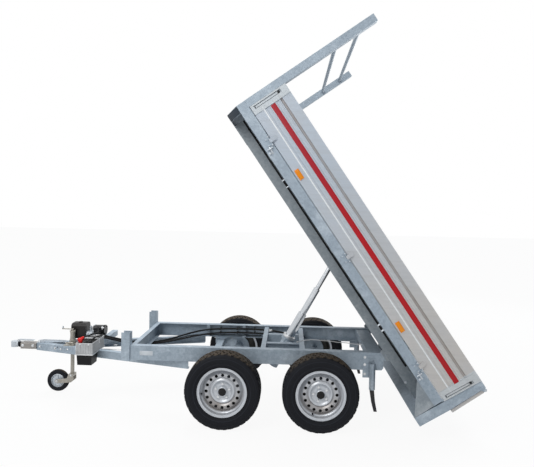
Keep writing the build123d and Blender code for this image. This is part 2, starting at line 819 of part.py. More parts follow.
for side, hand in ((-1, "left"), (1, "right")):
    inner_y = bed_half_width - board_thickness
    cap_y = bed_half_width + cap_proud
    caps = [[(board_front_u, board_low_w), (board_front_u + cap_width, board_low_w),
             (board_front_u + cap_width, board_top_w), (board_front_u, board_top_w)],
            [(board_rear_u - cap_width, board_low_w), (board_rear_u, board_low_w),
             (board_rear_u + board_lean, board_top_w),
             (board_rear_u - cap_width + board_lean, board_top_w)]]
    with BuildPart() as dropside:
        with BuildSketch(bed_across(board_front_u + 10)):
            outline(board_profile(side, inner_y, bed_half_width, board_low_w, board_top_w))
        extrude(amount=board_rear_u - board_front_u - 20)
        with BuildSketch(bed_beside(side * inner_y)):
            for cap in caps:
                outline(cap)
        extrude(amount=-side * (cap_y - inner_y))
        with BuildSketch(bed_beside(side * cap_y)):
            outline([(board_front_u + 12, slot_low_w), (board_front_u + 38, slot_low_w),
                     (board_front_u + 38, slot_high_w), (board_front_u + 12, slot_high_w)])
            outline([(board_rear_u - 38 + (slot_low_w - board_low_w) * tail_lean, slot_low_w),
                     (board_rear_u - 12 + (slot_low_w - board_low_w) * tail_lean, slot_low_w),
                     (board_rear_u - 12 + (slot_high_w - board_low_w) * tail_lean, slot_high_w),
                     (board_rear_u - 38 + (slot_high_w - board_low_w) * tail_lean,
                      slot_high_w)])
        extrude(amount=side * 16, mode=Mode.SUBTRACT)
        with BuildSketch(bed_beside(side * (cap_y - 16))):
            outline([(board_front_u + 18, slot_low_w), (board_front_u + 32, slot_low_w),
                     (board_front_u + 32, latch_high_w), (board_front_u + 18, latch_high_w)])
            outline([(board_rear_u - 32 + (slot_low_w - board_low_w) * tail_lean, slot_low_w),
                     (board_rear_u - 18 + (slot_low_w - board_low_w) * tail_lean, slot_low_w),
                     (board_rear_u - 18 + (latch_high_w - board_low_w) * tail_lean,
                      latch_high_w),
                     (board_rear_u - 32 + (latch_high_w - board_low_w) * tail_lean,
                      latch_high_w)])
        extrude(amount=-side * 11)
        for u in hinge_stations:
            with BuildSketch(bed_across(u - 15)):
                with Locations((side * board_hinge_y, board_hinge_w)):
                    Circle(knuckle_radius)
                outline([(side * (board_hinge_y - 6), board_hinge_w),
                         (side * (board_hinge_y - 7), 172), (side * bed_half_width, 180),
                         (side * bed_half_width, 210), (side * (bed_half_width + 4), 210),
                         (side * (board_hinge_y + 5), 172), (side * (board_hinge_y + 6),
                                                             board_hinge_w)])
            extrude(amount=30)
    keep(f"{hand}_dropside", dropside)

tailboard_lug = [(497, 440), (495, 468), (499, 477), (510, 477), (516, 468), (521, 450),
                 (521, 440)]
with BuildPart() as tailboard:
    with BuildSketch(bed_across(497)):
        with Locations((0, 311)):
            Rectangle(1560, 278)
    extrude(amount=24)
    with BuildSketch(bed_across(521)):
        with Locations((0, 231), (0, 311), (0, 391)):
            Rectangle(1560 - 2 * 45, 34)
    extrude(amount=-5, mode=Mode.SUBTRACT)
    with BuildSketch(bed_beside(-770)):
        outline(tailboard_lug)
    extrude(amount=6)
    with BuildSketch(bed_beside(776)):
        outline(tailboard_lug)
    extrude(amount=6)
    with BuildSketch(bed_beside(800)):
        with Locations((tailgate_pivot_u, tailgate_pivot_w)):
            Circle(7.3)
    extrude(amount=1600, mode=Mode.SUBTRACT)
keep("tailboard", tailboard)

os.makedirs("parts", exist_ok=True)
for name, part in pieces.items():
    export_step(part, f"parts/{name}.step")
print(len(pieces), "pieces; cylinder eye at", round(eye_distance, 1), "closes to", round(retracted, 1))
print("cylinder leans", round(degrees(atan2(ram_dir.X, ram_dir.Z)), 2))
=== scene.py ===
from math import cos, pi, radians, sin

import bpy
from mathutils import Matrix, Vector


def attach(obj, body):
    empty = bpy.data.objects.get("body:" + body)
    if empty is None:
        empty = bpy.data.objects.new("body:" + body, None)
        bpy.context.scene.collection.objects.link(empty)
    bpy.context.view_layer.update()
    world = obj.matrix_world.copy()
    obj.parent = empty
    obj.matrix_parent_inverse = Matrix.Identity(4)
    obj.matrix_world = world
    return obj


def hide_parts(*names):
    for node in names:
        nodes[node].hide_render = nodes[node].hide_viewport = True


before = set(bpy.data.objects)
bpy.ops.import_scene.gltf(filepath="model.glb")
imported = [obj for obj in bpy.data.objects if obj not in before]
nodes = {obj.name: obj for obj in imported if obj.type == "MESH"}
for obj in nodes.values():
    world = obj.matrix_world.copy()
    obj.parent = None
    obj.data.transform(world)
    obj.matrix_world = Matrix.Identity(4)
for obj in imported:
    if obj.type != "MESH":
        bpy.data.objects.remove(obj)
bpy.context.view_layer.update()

# places shared with the frame, in metres
tipAngle = radians(55.3)
bedPivot = Vector((1.370, 0.0, 0.560))
bedAlong = Vector((cos(tipAngle), 0.0, -sin(tipAngle)))
bedSquare = Vector((sin(tipAngle), 0.0, cos(tipAngle)))
bedTurn = (0.0, tipAngle, 0.0)
wheelX = {"front": 0.057, "rear": 0.823}
wheelY = 0.6405
wheelZ = 0.300
tyreRadius = 0.300
ramLean = 0.505
sides = {"left": -1, "right": 1}
along, upright = (1, 0, 0), (0, 0, 1)
thinEdge = 0.0008  # the bevel of thin plates
hubs = {(end, hand): Vector((x, side * wheelY, wheelZ))
        for end, x in wheelX.items() for hand, side in sides.items()}


def bedPoint(u, w, y):
    # u along the bed from its hinge, w square to its floor, y across
    return bedPivot + bedAlong * u + bedSquare * w + Vector((0.0, y, 0.0))


def spoke(angle):
    # a direction square to the axles
    return Vector((cos(angle), 0, sin(angle)))


def turnsOf(count, start=0.0):
    # even angles round a circle
    return [start + i * 2 * pi / count for i in range(count)]


# shader maths written as expressions
class Wire:
    # one output socket of a node, with arithmetic
    def __init__(self, shader, socket):
        self.shader = shader
        self.socket = socket

    def maths(self, operation, *others):
        values = {i: v for i, v in enumerate((self,) + others)}
        return self.shader.node("ShaderNodeMath", {"operation": operation}, values)

    def reflected(self, operation, other):
        return self.shader.node("ShaderNodeMath", {"operation": operation}, {0: other, 1: self})

    def __add__(self, other):
        return self.maths("ADD", other)

    __radd__ = __add__

    def __mul__(self, other):
        return self.maths("MULTIPLY", other)

    __rmul__ = __mul__

    def __sub__(self, other):
        return self.maths("SUBTRACT", other)

    def __rsub__(self, other):
        return self.reflected("SUBTRACT", other)

    def __truediv__(self, other):
        return self.maths("DIVIDE", other)

    def __rtruediv__(self, other):
        return self.reflected("DIVIDE", other)

    def __abs__(self):
        return self.maths("ABSOLUTE")

    def root(self):
        return self.maths("SQRT")

    def band(self, low, high, soft=0.002):
        # 1 between low and high, fading over soft at each edge
        rise = self.step(low - soft, low)
        return rise * (1 - self.step(high, high + soft))

    def step(self, low, high):
        return self.shader.node("ShaderNodeMapRange", {"interpolation_type": "SMOOTHSTEP"},
                                {0: self, 1: low, 2: high, 3: 0.0, 4: 1.0})


class Shader:
    # one material and its nodes
    def __init__(self, name):
        self.material = bpy.data.materials.new(name)
        self.material.use_nodes = True
        self.tree = self.material.node_tree
        self.tree.nodes.clear()
        self.place = self.node("ShaderNodeTexCoord", output="Object")
        parts = self.tree.nodes.new("ShaderNodeSeparateXYZ")
        self.tree.links.new(self.place.socket, parts.inputs[0])
        self.x, self.y, self.z = (Wire(self, parts.outputs[i]) for i in range(3))

    def node(self, kind, settings=None, values=None, output=0):
        made = self.tree.nodes.new(kind)
        for key, value in (settings or {}).items():
            setattr(made, key, value)
        for key, value in (values or {}).items():
            if isinstance(value, Wire):
                self.tree.links.new(value.socket, made.inputs[key])
            else:
                made.inputs[key].default_value = value
        return Wire(self, made.outputs[output]) if made.outputs else None

    def mapped(self, scale=(1, 1, 1), turn=(0, 0, 0)):
        return self.node("ShaderNodeMapping", None,
                         {"Vector": self.place, "Scale": scale, "Rotation": turn})

    def noise(self, scale, detail=3.0, rough=0.5, vector=None):
        return self.node("ShaderNodeTexNoise", None,
                         {"Vector": vector or self.place, "Scale": scale, "Detail": detail,
                          "Roughness": rough})

    def cells(self, scale, vector=None):
        # one random value for each crystal or flake
        tint = self.node("ShaderNodeTexVoronoi", None,
                         {"Vector": vector or self.place, "Scale": scale}, "Color")
        return self.node("ShaderNodeSeparateXYZ", None, {0: tint})

    def mix(self, first, second, mask):
        return self.node("ShaderNodeMix", {"data_type": "RGBA"},
                         {0: mask, 6: first, 7: second}, 2)

    def bump(self, height, distance, strength=1.0, under=None):
        values = {"Height": height, "Distance": distance, "Strength": strength}
        if under:
            values["Normal"] = under
        return self.node("ShaderNodeBump", None, values)

    def bedAxes(self):
        # distances along the bed and square to its floor, from the pivot
        dx, dz = self.x - bedPivot.x, self.z - bedPivot.z
        return dx * bedAlong.x + dz * bedAlong.z, dx * bedSquare.x + dz * bedSquare.z

    def finish(self, colour, rough=0.5, metal=0.0, normal=None, coat=0.0, shine=0.5):
        values = {"Base Color": colour, "Roughness": rough, "Metallic": metal,
                  "Specular IOR Level": shine}
        if normal:
            values["Normal"] = normal
        if coat:
            values["Coat Weight"] = coat
            values["Coat Roughness"] = 0.12
        shade = self.node("ShaderNodeBsdfPrincipled", None, values)
        self.node("ShaderNodeOutputMaterial", None, {"Surface": shade})
        return self.material


def rgb(r, g, b):
    # an 8-bit screen colour as the linear one that nodes take
    def linear(v):
        v /= 255
        return v / 12.92 if v <= 0.04045 else ((v + 0.055) / 1.055) ** 2.4
    return (linear(r), linear(g), linear(b), 1.0)


# finishes
galvanisedLook = {"spangleScale": 62, "dark": rgb(112, 126, 140), "light": rgb(186, 199, 210),
                  "bloom": rgb(214, 224, 233), "metal": 0.30}


def galvanised(name, look=galvanisedLook):
    s = Shader(name)
    flake = s.cells(look["spangleScale"])
    fine = s.cells(look["spangleScale"] * 2.7)
    cloud = s.noise(2.2, 4.0, 0.6)
    run = s.noise(9.0, 3.0, 0.55, s.mapped((1.0, 1.0, 0.18)))
    tone = 0.20 * flake + 0.10 * fine + 0.42 * cloud + 0.26 * run - 0.02
    colour = s.mix(look["dark"], look["light"], tone)
    haze = (s.noise(5.5, 5.0, 0.7) - 0.54).maths("MAXIMUM", 0.0) * 2.4
    colour = s.mix(colour, look["bloom"], haze)
    rough = 0.34 + 0.14 * fine + 0.20 * cloud
    relief = s.bump(0.6 * flake + s.noise(160, 3.0), 0.0006, 0.35)
    return s.finish(colour, rough, look["metal"], relief)


boardLook = {"cool": rgb(180, 189, 200), "warm": rgb(196, 191, 186), "rib": rgb(232, 235, 238),
             "grooveShadeAndDirt": rgb(146, 134, 128), "cap": rgb(196, 202, 206),
             "scratch": (0.30, 0.30, 0.29, 1.0), "ribHighlightAcross": (0.242, 0.250),
             "grooveShadeAndDirtAcross": (0.388, 0.404), "frontCap": (-2.235, -2.154), "rearCap": 0.331}


def boardFinish(name, capped):
    # brushed along the bed; only the drop sides have the painted rib highlight, the groove line of
    # grime and painted shade, and the end caps
    s = Shader(name)
    u, w = s.bedAxes()
    grain = s.noise(60, 4.0, 0.6, s.mapped((0.05, 1.0, 1.0), (0.0, -tipAngle, 0.0)))
    stain = s.noise(4.0, 4.0, 0.65)
    down = u.step(-1.9, 0.2)
    colour = s.mix(boardLook["cool"], boardLook["warm"], down * 0.8 + (stain - 0.5) * 0.6)
    if capped:
        # a brownish dark band along the upper groove: partly grime, partly painted shade of the
        # groove
        grooveShadeAndDirtMask = w.band(*boardLook["grooveShadeAndDirtAcross"], 0.004) * (0.35 + stain * 0.5)
        colour = s.mix(colour, boardLook["grooveShadeAndDirt"], grooveShadeAndDirtMask)
        # painted highlight: a light band where the rib catches the light
        colour = s.mix(colour, boardLook["rib"], w.band(*boardLook["ribHighlightAcross"], 0.003) * 0.9)
        rear = boardLook["rearCap"]
        ends = u.band(*boardLook["frontCap"], 0.001) + u.step(rear, rear + 0.002)
        colour = s.mix(colour, boardLook["cap"], ends.maths("MINIMUM", 1.0) * 0.8)
    scratch = (grain - 0.45).maths("MAXIMUM", 0.0) * 0.6
    colour = s.mix(colour, boardLook["scratch"], scratch)
    rough = 0.36 + 0.22 * grain + 0.12 * stain
    return s.finish(colour, rough, 0.15, s.bump(grain, 0.0004, 0.5), shine=0.35)


deckLook = {"steelDark": rgb(112, 122, 130), "steelLight": rgb(176, 184, 190),
            "undersideShadeDark": rgb(34, 32, 32), "undersideShadeLight": rgb(58, 54, 52), "change": (0.1594, 0.1602)}


def deckFinish(name):
    # a steel sheet above; seen from below, painted near black as the shade in the gap under the
    # bed
    s = Shader(name)
    height = s.bedAxes()[1]
    undersideNoise = s.noise(26, 4.0, 0.6)
    steel = s.mix(deckLook["steelDark"], deckLook["steelLight"], s.noise(5, 4.0, 0.6))
    # painted shade: the underside colour is near black
    under = s.mix(deckLook["undersideShadeDark"], deckLook["undersideShadeLight"], undersideNoise)
    return s.finish(s.mix(under, steel, height.step(*deckLook["change"])), 0.42 + 0.2 * undersideNoise, 0.0,
                    s.bump(undersideNoise, 0.0004, 0.4), shine=0.3)


def plainMetal(name, light, dark, metal, rough, grainScale=90):
    s = Shader(name)
    patch = s.noise(14, 4.0, 0.6)
    grain = s.noise(grainScale, 3.0)
    colour = s.mix(dark, light, 0.25 + patch)
    return s.finish(colour, rough + 0.18 * patch, metal, s.bump(grain, 0.0004, 0.4))


def polishedRod(name):
    # fine rings round the rams, square to their lean
    s = Shader(name)
    ring = s.noise(220, 2.0, 0.5, s.mapped((0.3, 0.3, 1.0), (0.0, -ramLean, 0.0)))
    smear = s.noise(12, 3.0)
    colour = s.mix(rgb(214, 218, 222), rgb(168, 172, 178), smear * 0.8)
    return s.finish(colour, 0.16 + 0.14 * smear, 0.95, s.bump(ring, 0.0002, 0.25))


dustTint = rgb(120, 118, 112)


def moulding(name, tint, rough, scale=240, strength=0.5, dust=0.12, shine=0.22):
    # plastic, rubber or paint with a fine grain and a film of dust
    s = Shader(name)
    grain = s.noise(scale, 2.0)
    film = s.noise(7, 4.0, 0.6)
    colour = s.mix(tint, dustTint, (film - 0.4).maths("MAXIMUM", 0.0) * dust * 3)
    return s.finish(colour, rough + 0.14 * film, 0.0, s.bump(grain, 0.0003, strength),
                    shine=shine)


tyreLook = {"black": rgb(12, 14, 20), "grey": rgb(46, 50, 58), "dust": rgb(104, 90, 72),
            "ring": rgb(40, 44, 52), "rings": ((0.885, 0.892), (0.74, 0.75))}


def tyreRubber(name, centreX, centreZ=wheelZ, outer=tyreRadius):
    # black walls with two moulded rings, dust on the upper tread
    s = Shader(name)
    dx, dz = s.x - centreX, s.z - centreZ
    reach = (dx * dx + dz * dz).root()
    speck = s.noise(75, 4.0, 0.65)
    cloud = s.noise(6, 3.0)
    dust = reach.step(outer * 0.972, outer * 0.992) * (speck - 0.34).maths("MAXIMUM", 0.0) * 2.2
    dust = dust.maths("MINIMUM", 0.75) * dz.step(outer * 0.45, outer * 0.85)
    film = (cloud - 0.35).maths("MAXIMUM", 0.0) * 0.16
    colour = s.mix(tyreLook["black"], tyreLook["grey"], film + 0.03)
    colour = s.mix(colour, tyreLook["dust"], dust)
    first, second = (reach.band(outer * low, outer * high, 0.001)
                     for low, high in tyreLook["rings"])
    colour = s.mix(colour, tyreLook["ring"], (first + second) * 0.6)
    rough = 0.56 + 0.25 * speck
    return s.finish(colour, rough, 0.0, s.bump(s.noise(260, 2.0), 0.0004, 0.5), shine=0.2)


wheelLook = {"light": rgb(204, 209, 216), "shade": rgb(172, 174, 178), "grime": rgb(122, 112, 104),
             "grimeReach": (0.100, 0.158)}


def wheelPaint(name, centreX):
    # silver paint, with brake dust round the holes and more of it low down
    s = Shader(name)
    film = s.noise(9, 4.0, 0.6)
    dx = s.x - centreX
    dz = s.z - wheelZ
    reach = (dx * dx + dz * dz).root()
    low = dz.step(0.04, -0.12)
    grime = reach.band(*wheelLook["grimeReach"], 0.012) * (0.25 + 0.5 * low)
    colour = s.mix(wheelLook["light"], wheelLook["shade"], film * 0.8)
    colour = s.mix(colour, wheelLook["grime"], grime * (0.4 + film))
    flake = s.cells(900)
    return s.finish(colour, 0.26 + 0.16 * film, 0.35, s.bump(flake, 0.0001, 0.2), coat=0.2)


def lensFinish(name, tint, dark):
    # a reflector's small prisms, as two crossing waves
    s = Shader(name)
    relief = (s.y * 1020).maths("SINE") + ((s.x - s.z) * 680).maths("SINE")
    colour = s.mix(tint, dark, s.noise(16, 2.0) * 0.5)
    return s.finish(colour, 0.24, 0.0, s.bump(relief, 0.0003, 0.35), coat=0.15, shine=0.3)


tapeLook = {"front": rgb(160, 30, 44), "rear": rgb(184, 20, 30), "worn": rgb(150, 24, 34)}


def tapeFinish(name):
    # deep red tape, a shade darker towards the front of the bed
    s = Shader(name)
    down = s.bedAxes()[0].step(-1.9, -0.6)
    film = s.noise(12, 3.0)
    colour = s.mix(tapeLook["front"], tapeLook["rear"], down)
    colour = s.mix(colour, tapeLook["worn"], film * 0.35)
    return s.finish(colour, 0.42 + 0.12 * film, 0.0, s.bump(s.noise(180, 2.0), 0.0001, 0.2),
                    shine=0.25)


lampLook = {"red": rgb(150, 22, 20), "amber": rgb(222, 120, 24), "amberAcross": (0.28, 0.345),
            "redAcross": (0.345, 0.44)}


def tailLens(name):
    # red lamps with an amber field each, fluted across
    s = Shader(name)
    spread = abs(s.y)
    amber = spread.band(*lampLook["amberAcross"], 0.001)
    colour = s.mix(lampLook["red"], lampLook["amber"], amber)
    colour = s.mix(colour, lampLook["red"], spread.band(*lampLook["redAcross"], 0.001))
    flutes = (s.y * 900).maths("SINE")
    return s.finish(colour, 0.2, 0.0, s.bump(flutes, 0.0005, 0.4), coat=0.6)


finishes = {
    "galvanised": galvanised("galvanisedSteel"),
    # a darker, greyer copy of the galvanised finish: painted shade for the parts under the bed
    "galvanisedShaded": galvanised("galvanisedShaded", {**galvanisedLook,
                                                    "dark": rgb(104, 114, 122),
                                                    "light": rgb(166, 174, 180),
                                                    "bloom": rgb(190, 196, 200)}),
    "deck": deckFinish("deckSheet"),
    "zinc": plainMetal("zincPlate", rgb(178, 174, 165), rgb(114, 109, 102), 0.4, 0.3),
    "cast": plainMetal("castHousing", rgb(158, 154, 150), rgb(96, 92, 90), 0.35, 0.42, 45),
    "castAlloy": plainMetal("castAlloy", rgb(204, 210, 216), rgb(140, 148, 156), 0.5, 0.3, 60),
    "boltSteel": plainMetal("boltSteel", rgb(222, 224, 226), rgb(150, 152, 154), 0.85, 0.26),
    "board": boardFinish("boardAluminium", True),
    "boardPlain": boardFinish("boardPlain", False),
    "ribbed": plainMetal("batteryCover", rgb(190, 192, 194), rgb(126, 126, 128), 0.3, 0.42),
    "plastic": moulding("blackPlastic", rgb(11, 12, 15), 0.42, dust=0.06),
    "tankPlastic": moulding("tankPlastic", rgb(20, 16, 17), 0.34, 120, 0.4, 0.06, shine=0.3),
    "rubber": moulding("blackRubber", rgb(10, 11, 15), 0.62, 320, 0.6, dust=0.05),
    "blackPaint": moulding("blackPaint", rgb(12, 14, 20), 0.28, 60, 0.25, shine=0.4),
    "chrome": polishedRod("chromedRod"),
    "tailLens": tailLens("tailLens"),
    "amber": lensFinish("amberReflector", rgb(240, 146, 6), rgb(212, 106, 2)),
    "redTape": tapeFinish("redTape"),
    "redCap": moulding("redTerminalCover", rgb(206, 24, 22), 0.38),
    # painted shade: dark blue-grey for the plates on the front sill's shaded ends
    "sillShadeFinish": moulding("sillShadeFinish", rgb(48, 56, 66), 0.5, 60, 0.25, 0.2),
    "brakePlate": moulding("brakePlate", rgb(36, 35, 34), 0.5, 60, 0.25, 0.3),
    "plateWhite": moulding("numberPlateBlank", rgb(226, 226, 222), 0.3, 90, 0.1, 0.15),
}
rubberFor = {end: tyreRubber(end + "TyreRubber", x) for end, x in wheelX.items()}
paintFor = {end: wheelPaint(end + "WheelPaint", x) for end, x in wheelX.items()}
print("finishes made")


def dress(finish, *names):
    material = finishes[finish] if isinstance(finish, str) else finish
    for name in names:
        node = nodes[name]
        if not node.material_slots:
            node.data.materials.append(material)
        for place in node.material_slots:
            place.material = material


dress("galvanised", "main_rails", "crossmembers", "cylinder_cradle", "bed_guides", "hinge_ears",
      "prop_brackets", "front_axle", "rear_axle", "drawbars", "equipment_bracket", "front_sill",
      "rack_posts", "rack_bars", "ram_lugs", "rear_sill", "cylinder_barrel", "bed_side_rails",
      "tail_posts")
# painted shade: beams, bearers and gussets get the darker copy of the galvanised finish
dress("galvanisedShaded", "bed_beams", "bed_bearers", "tail_gussets")
dress("deck", "bed_floor")
dress("zinc", "jockey_tube", "jockey_inner", "jockey_fork")
dress("castAlloy", "coupling_head", "coupling_handle", "handbrake_lever", "jockey_rim")
dress("cast", "overrun_housing")
dress("castAlloy", "pump_block")
dress("board", "left_dropside", "right_dropside")
dress("boardPlain", "tailboard", "headboard")
dress("ribbed", "battery_collar")
dress("plastic", "battery_box")
dress("tankPlastic", "oil_tank")
dress("rubber", "coupling_bellows")
dress("blackPaint", "pump_motor", "left_prop_leg", "right_prop_leg")
dress("chrome", "ram_1", "ram_2", "ram_3")
dress("tailLens", "tail_lamps")
dress(tyreRubber("jockeyRubber", -1.563, 0.100, 0.100), "jockey_tyre")
for end in wheelX:
    for hand in sides:
        dress(paintFor[end], f"{end}_{hand}_rim")


# modelling by hand, in small steps
def clearSelection():
    if bpy.context.object and bpy.context.object.mode != "OBJECT":
        bpy.ops.object.mode_set(mode="OBJECT")
    bpy.ops.object.select_all(action="DESELECT")


def takeUp(obj):
    clearSelection()
    obj.select_set(True)
    bpy.context.view_layer.objects.active = obj


def seat(obj):
    # origin back to the frame's, with the place kept in the mesh
    takeUp(obj)
    bpy.ops.object.transform_apply(location=True, rotation=True, scale=True)
    return obj


def soften(obj, width, segments=2, angle=35):
    takeUp(obj)
    edge = obj.modifiers.new("edge", "BEVEL")
    edge.width = width
    edge.segments = segments
    edge.limit_method = "ANGLE"
    edge.angle_limit = radians(angle)
    bpy.ops.object.modifier_apply(modifier=edge.name)
    bpy.ops.object.shade_smooth_by_angle(angle=radians(40))
    return obj


def block(centre, size, turn=(0, 0, 0), edge=0.001):
    clearSelection()
    bpy.ops.mesh.primitive_cube_add(size=1, location=centre, rotation=turn)
    made = bpy.context.object
    made.scale = size
    seat(made)
    return soften(made, edge) if edge else made


def rod(start, end, radius, sidesCount=24, edge=0.0, tip=None):
    start, end = Vector(start), Vector(end)
    run = end - start
    clearSelection()
    if tip is None:
        bpy.ops.mesh.primitive_cylinder_add(vertices=sidesCount, radius=radius,
                                            depth=run.length, location=(start + end) / 2)
    else:
        bpy.ops.mesh.primitive_cone_add(vertices=sidesCount, radius1=radius, radius2=tip,
                                        depth=run.length, location=(start + end) / 2)
    made = bpy.context.object
    made.rotation_mode = "QUATERNION"
    made.rotation_quaternion = Vector((0, 0, 1)).rotation_difference(run.normalized())
    seat(made)
    if edge:
        return soften(made, edge)
    takeUp(made)
    bpy.ops.object.shade_smooth_by_angle(angle=radians(40))
    return made


def pin(foot, way, span, radius, sidesCount=24, edge=0.0, tip=None):
    # a rod along way, between two distances from its foot
    foot, way = Vector(foot), Vector(way)
    return rod(foot + way * span[0], foot + way * span[1], radius, sidesCount, edge, tip)


def pipe(centre, way, radius, depth, thick, sidesCount, edge, segments=2):
    # an open ring that is given a wall
    clearSelection()
    bpy.ops.mesh.primitive_cylinder_add(vertices=sidesCount, radius=radius, depth=depth,
                                        end_fill_type="NOTHING", location=centre)
    made = bpy.context.object
    made.rotation_mode = "QUATERNION"
    made.rotation_quaternion = Vector((0, 0, 1)).rotation_difference(Vector(way))
    seat(made)
    wall = made.modifiers.new("wall", "SOLIDIFY")
    wall.thickness = thick
    wall.offset = -1
    bpy.ops.object.modifier_apply(modifier=wall.name)
    return soften(made, edge, segments)


def copyAt(obj, move):
    # another of the same, with its own mesh, moved over
    takeUp(obj)
    bpy.ops.object.duplicate()
    made = bpy.context.object
    made.location = move
    return seat(made)


def join(parts):
    # one part, or a list of them joined into its first
    if not isinstance(parts, list):
        return parts
    takeUp(parts[0])
    if len(parts) > 1:
        for part in parts[1:]:
            part.select_set(True)
        bpy.ops.object.join()
    return bpy.context.object


def row(make, spots):
    # modelled at the first spot and copied to the others
    model = join(make(spots[0]))
    return [model] + [copyAt(model, Vector(spot) - Vector(spots[0])) for spot in spots[1:]]


def blocks(spots, size, turn=(0, 0, 0), edge=0.001):
    return row(lambda spot: block(spot, size, turn, edge), spots)


def pins(spots, way, *sizes):
    return row(lambda spot: pin(spot, way, *sizes), spots)


def bolts(spots, way, radius, height=0.006, washer=True):
    # hexagon heads on their washers, one standing on each spot
    way = Vector(way).normalized()

    def bolt(spot):
        base = Vector(spot) + way * (0.0015 if washer else 0.0)
        parts = [pin(spot, way, (-0.0005, 0.0015), radius * 1.45, 20)] if washer else []
        return parts + [pin(base, way, (-0.0003, height), radius, 6, radius * 0.12)]
    return row(bolt, spots)


def keep(parts, name, body, finish, stands=()):
    obj = join(parts)
    obj.name = name
    obj.data.name = name
    obj.data.materials.clear()
    obj.data.materials.append(finishes[finish] if isinstance(finish, str) else finish)
    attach(obj, body)
    if stands:
        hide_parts(*stands)


def turned(points, centre, steps):
    # a section (across, radius) drawn out point by point, then spun round an axle along Y
    clearSelection()
    first = Vector((centre[0], centre[1] + points[0][0], centre[2] + points[0][1]))
    bpy.ops.mesh.primitive_plane_add(size=0.001, location=first)
    bpy.ops.object.mode_set(mode="EDIT")
    bpy.ops.mesh.select_mode(type="VERT")
    bpy.ops.mesh.merge(type="CENTER")
    for (fromY, fromR), (toY, toR) in zip(points, points[1:] + points[:1]):
        move = {"value": (0.0, toY - fromY, toR - fromR)}
        bpy.ops.mesh.extrude_region_move(TRANSFORM_OT_translate=move)
    bpy.ops.object.mode_set(mode="OBJECT")
    made = seat(bpy.context.object)
    bpy.ops.object.mode_set(mode="EDIT")
    bpy.ops.mesh.select_all(action="SELECT")
    bpy.ops.mesh.remove_doubles(threshold=0.00005)
    bpy.ops.mesh.select_all(action="SELECT")
    bpy.ops.mesh.spin(steps=steps, angle=2 * pi, center=centre, axis=(0, 1, 0))
    bpy.ops.mesh.select_all(action="SELECT")
    bpy.ops.mesh.remove_doubles(threshold=0.00005)
    bpy.ops.mesh.normals_make_consistent(inside=False)
    bpy.ops.object.mode_set(mode="OBJECT")
    return made


# tyres with their tread; a wall's points are (across, radius)
tread = {
    "steps": 140, "grooves": (-0.041, -0.014, 0.014, 0.041), "grooveHalf": 0.0035,
    "slope": 0.001, "deep": 0.007, "sipe": 0.005, "edge": 0.062, "crown": 0.0012,
    "wall": [(0.071, 0.2965), (0.080, 0.2905), (0.0855, 0.280), (0.089, 0.2665),
             (0.0905, 0.2655), (0.0925, 0.252), (0.0925, 0.242), (0.0912, 0.2405),
             (0.0895, 0.228), (0.0902, 0.2265), (0.0865, 0.214), (0.0830, 0.2065),
             (0.0840, 0.2050), (0.0825, 0.2010), (0.0785, 0.1992)],
    "inside": [(0.075, 0.1968), (0.073, 0.1818), (0.060, 0.1806), (0.064, 0.200),
               (0.080, 0.244), (0.072, 0.276), (0.056, 0.287)],
    "laneEdges": (0.010, 0.037), "topReach": 0.2975, "shoulderReach": (0.288, 0.2995)}


def tyreSection():
    r = tyreRadius
    half, slope, bottom = tread["grooveHalf"], tread["slope"], r - tread["deep"]
    top = [(-tread["edge"], r - tread["crown"])]
    for across in tread["grooves"]:
        top += [(across - half, r), (across - half + slope, bottom),
                (across + half - slope, bottom), (across + half, r)]
    top.append((tread["edge"], r - tread["crown"]))
    right = tread["wall"] + tread["inside"]
    return top + right + [(-y, z) for y, z in reversed(right)]


def isSipe(spot):
    # whether a face at this place from the hub is one of the tread's cuts
    reach = (spot.x ** 2 + spot.z ** 2) ** 0.5
    around = Vector((spot.x, spot.z)).angle_signed(Vector((1, 0)))
    step = int(around / (2 * pi / tread["steps"]) + 500)
    across = abs(spot.y)
    lane = sum(across >= edge for edge in tread["laneEdges"])
    low, high = tread["shoulderReach"]
    if across < tread["edge"]:
        return reach > tread["topReach"] and (step + lane * 2 + (spot.y > 0)) % 4 == 0
    return low < reach <= high and step % 4 < 2


def treadedTyre(hub):
    made = turned(tyreSection(), hub, tread["steps"])
    cuts = [face.index for face in made.data.polygons if isSipe(face.center - hub)]
    takeUp(made)
    bpy.ops.object.mode_set(mode="EDIT")
    bpy.ops.mesh.select_all(action="DESELECT")
    bpy.ops.object.mode_set(mode="OBJECT")
    for index in cuts:
        made.data.polygons[index].select = True
    bpy.ops.object.mode_set(mode="EDIT")
    bpy.ops.mesh.select_mode(type="FACE")
    bpy.ops.mesh.extrude_region_shrink_fatten(
        TRANSFORM_OT_shrink_fatten={"value": -tread["sipe"]})
    bpy.ops.object.mode_set(mode="OBJECT")
    bpy.ops.object.shade_smooth_by_angle(angle=radians(32))
    return made


for tyre, (end, hand) in zip(row(treadedTyre, list(hubs.values())), hubs):
    keep(tyre, f"{end}{hand.title()}TreadedTyre", f"{end}_{hand}_wheel", rubberFor[end],
         (f"{end}_{hand}_tyre",))
print("tyres made")

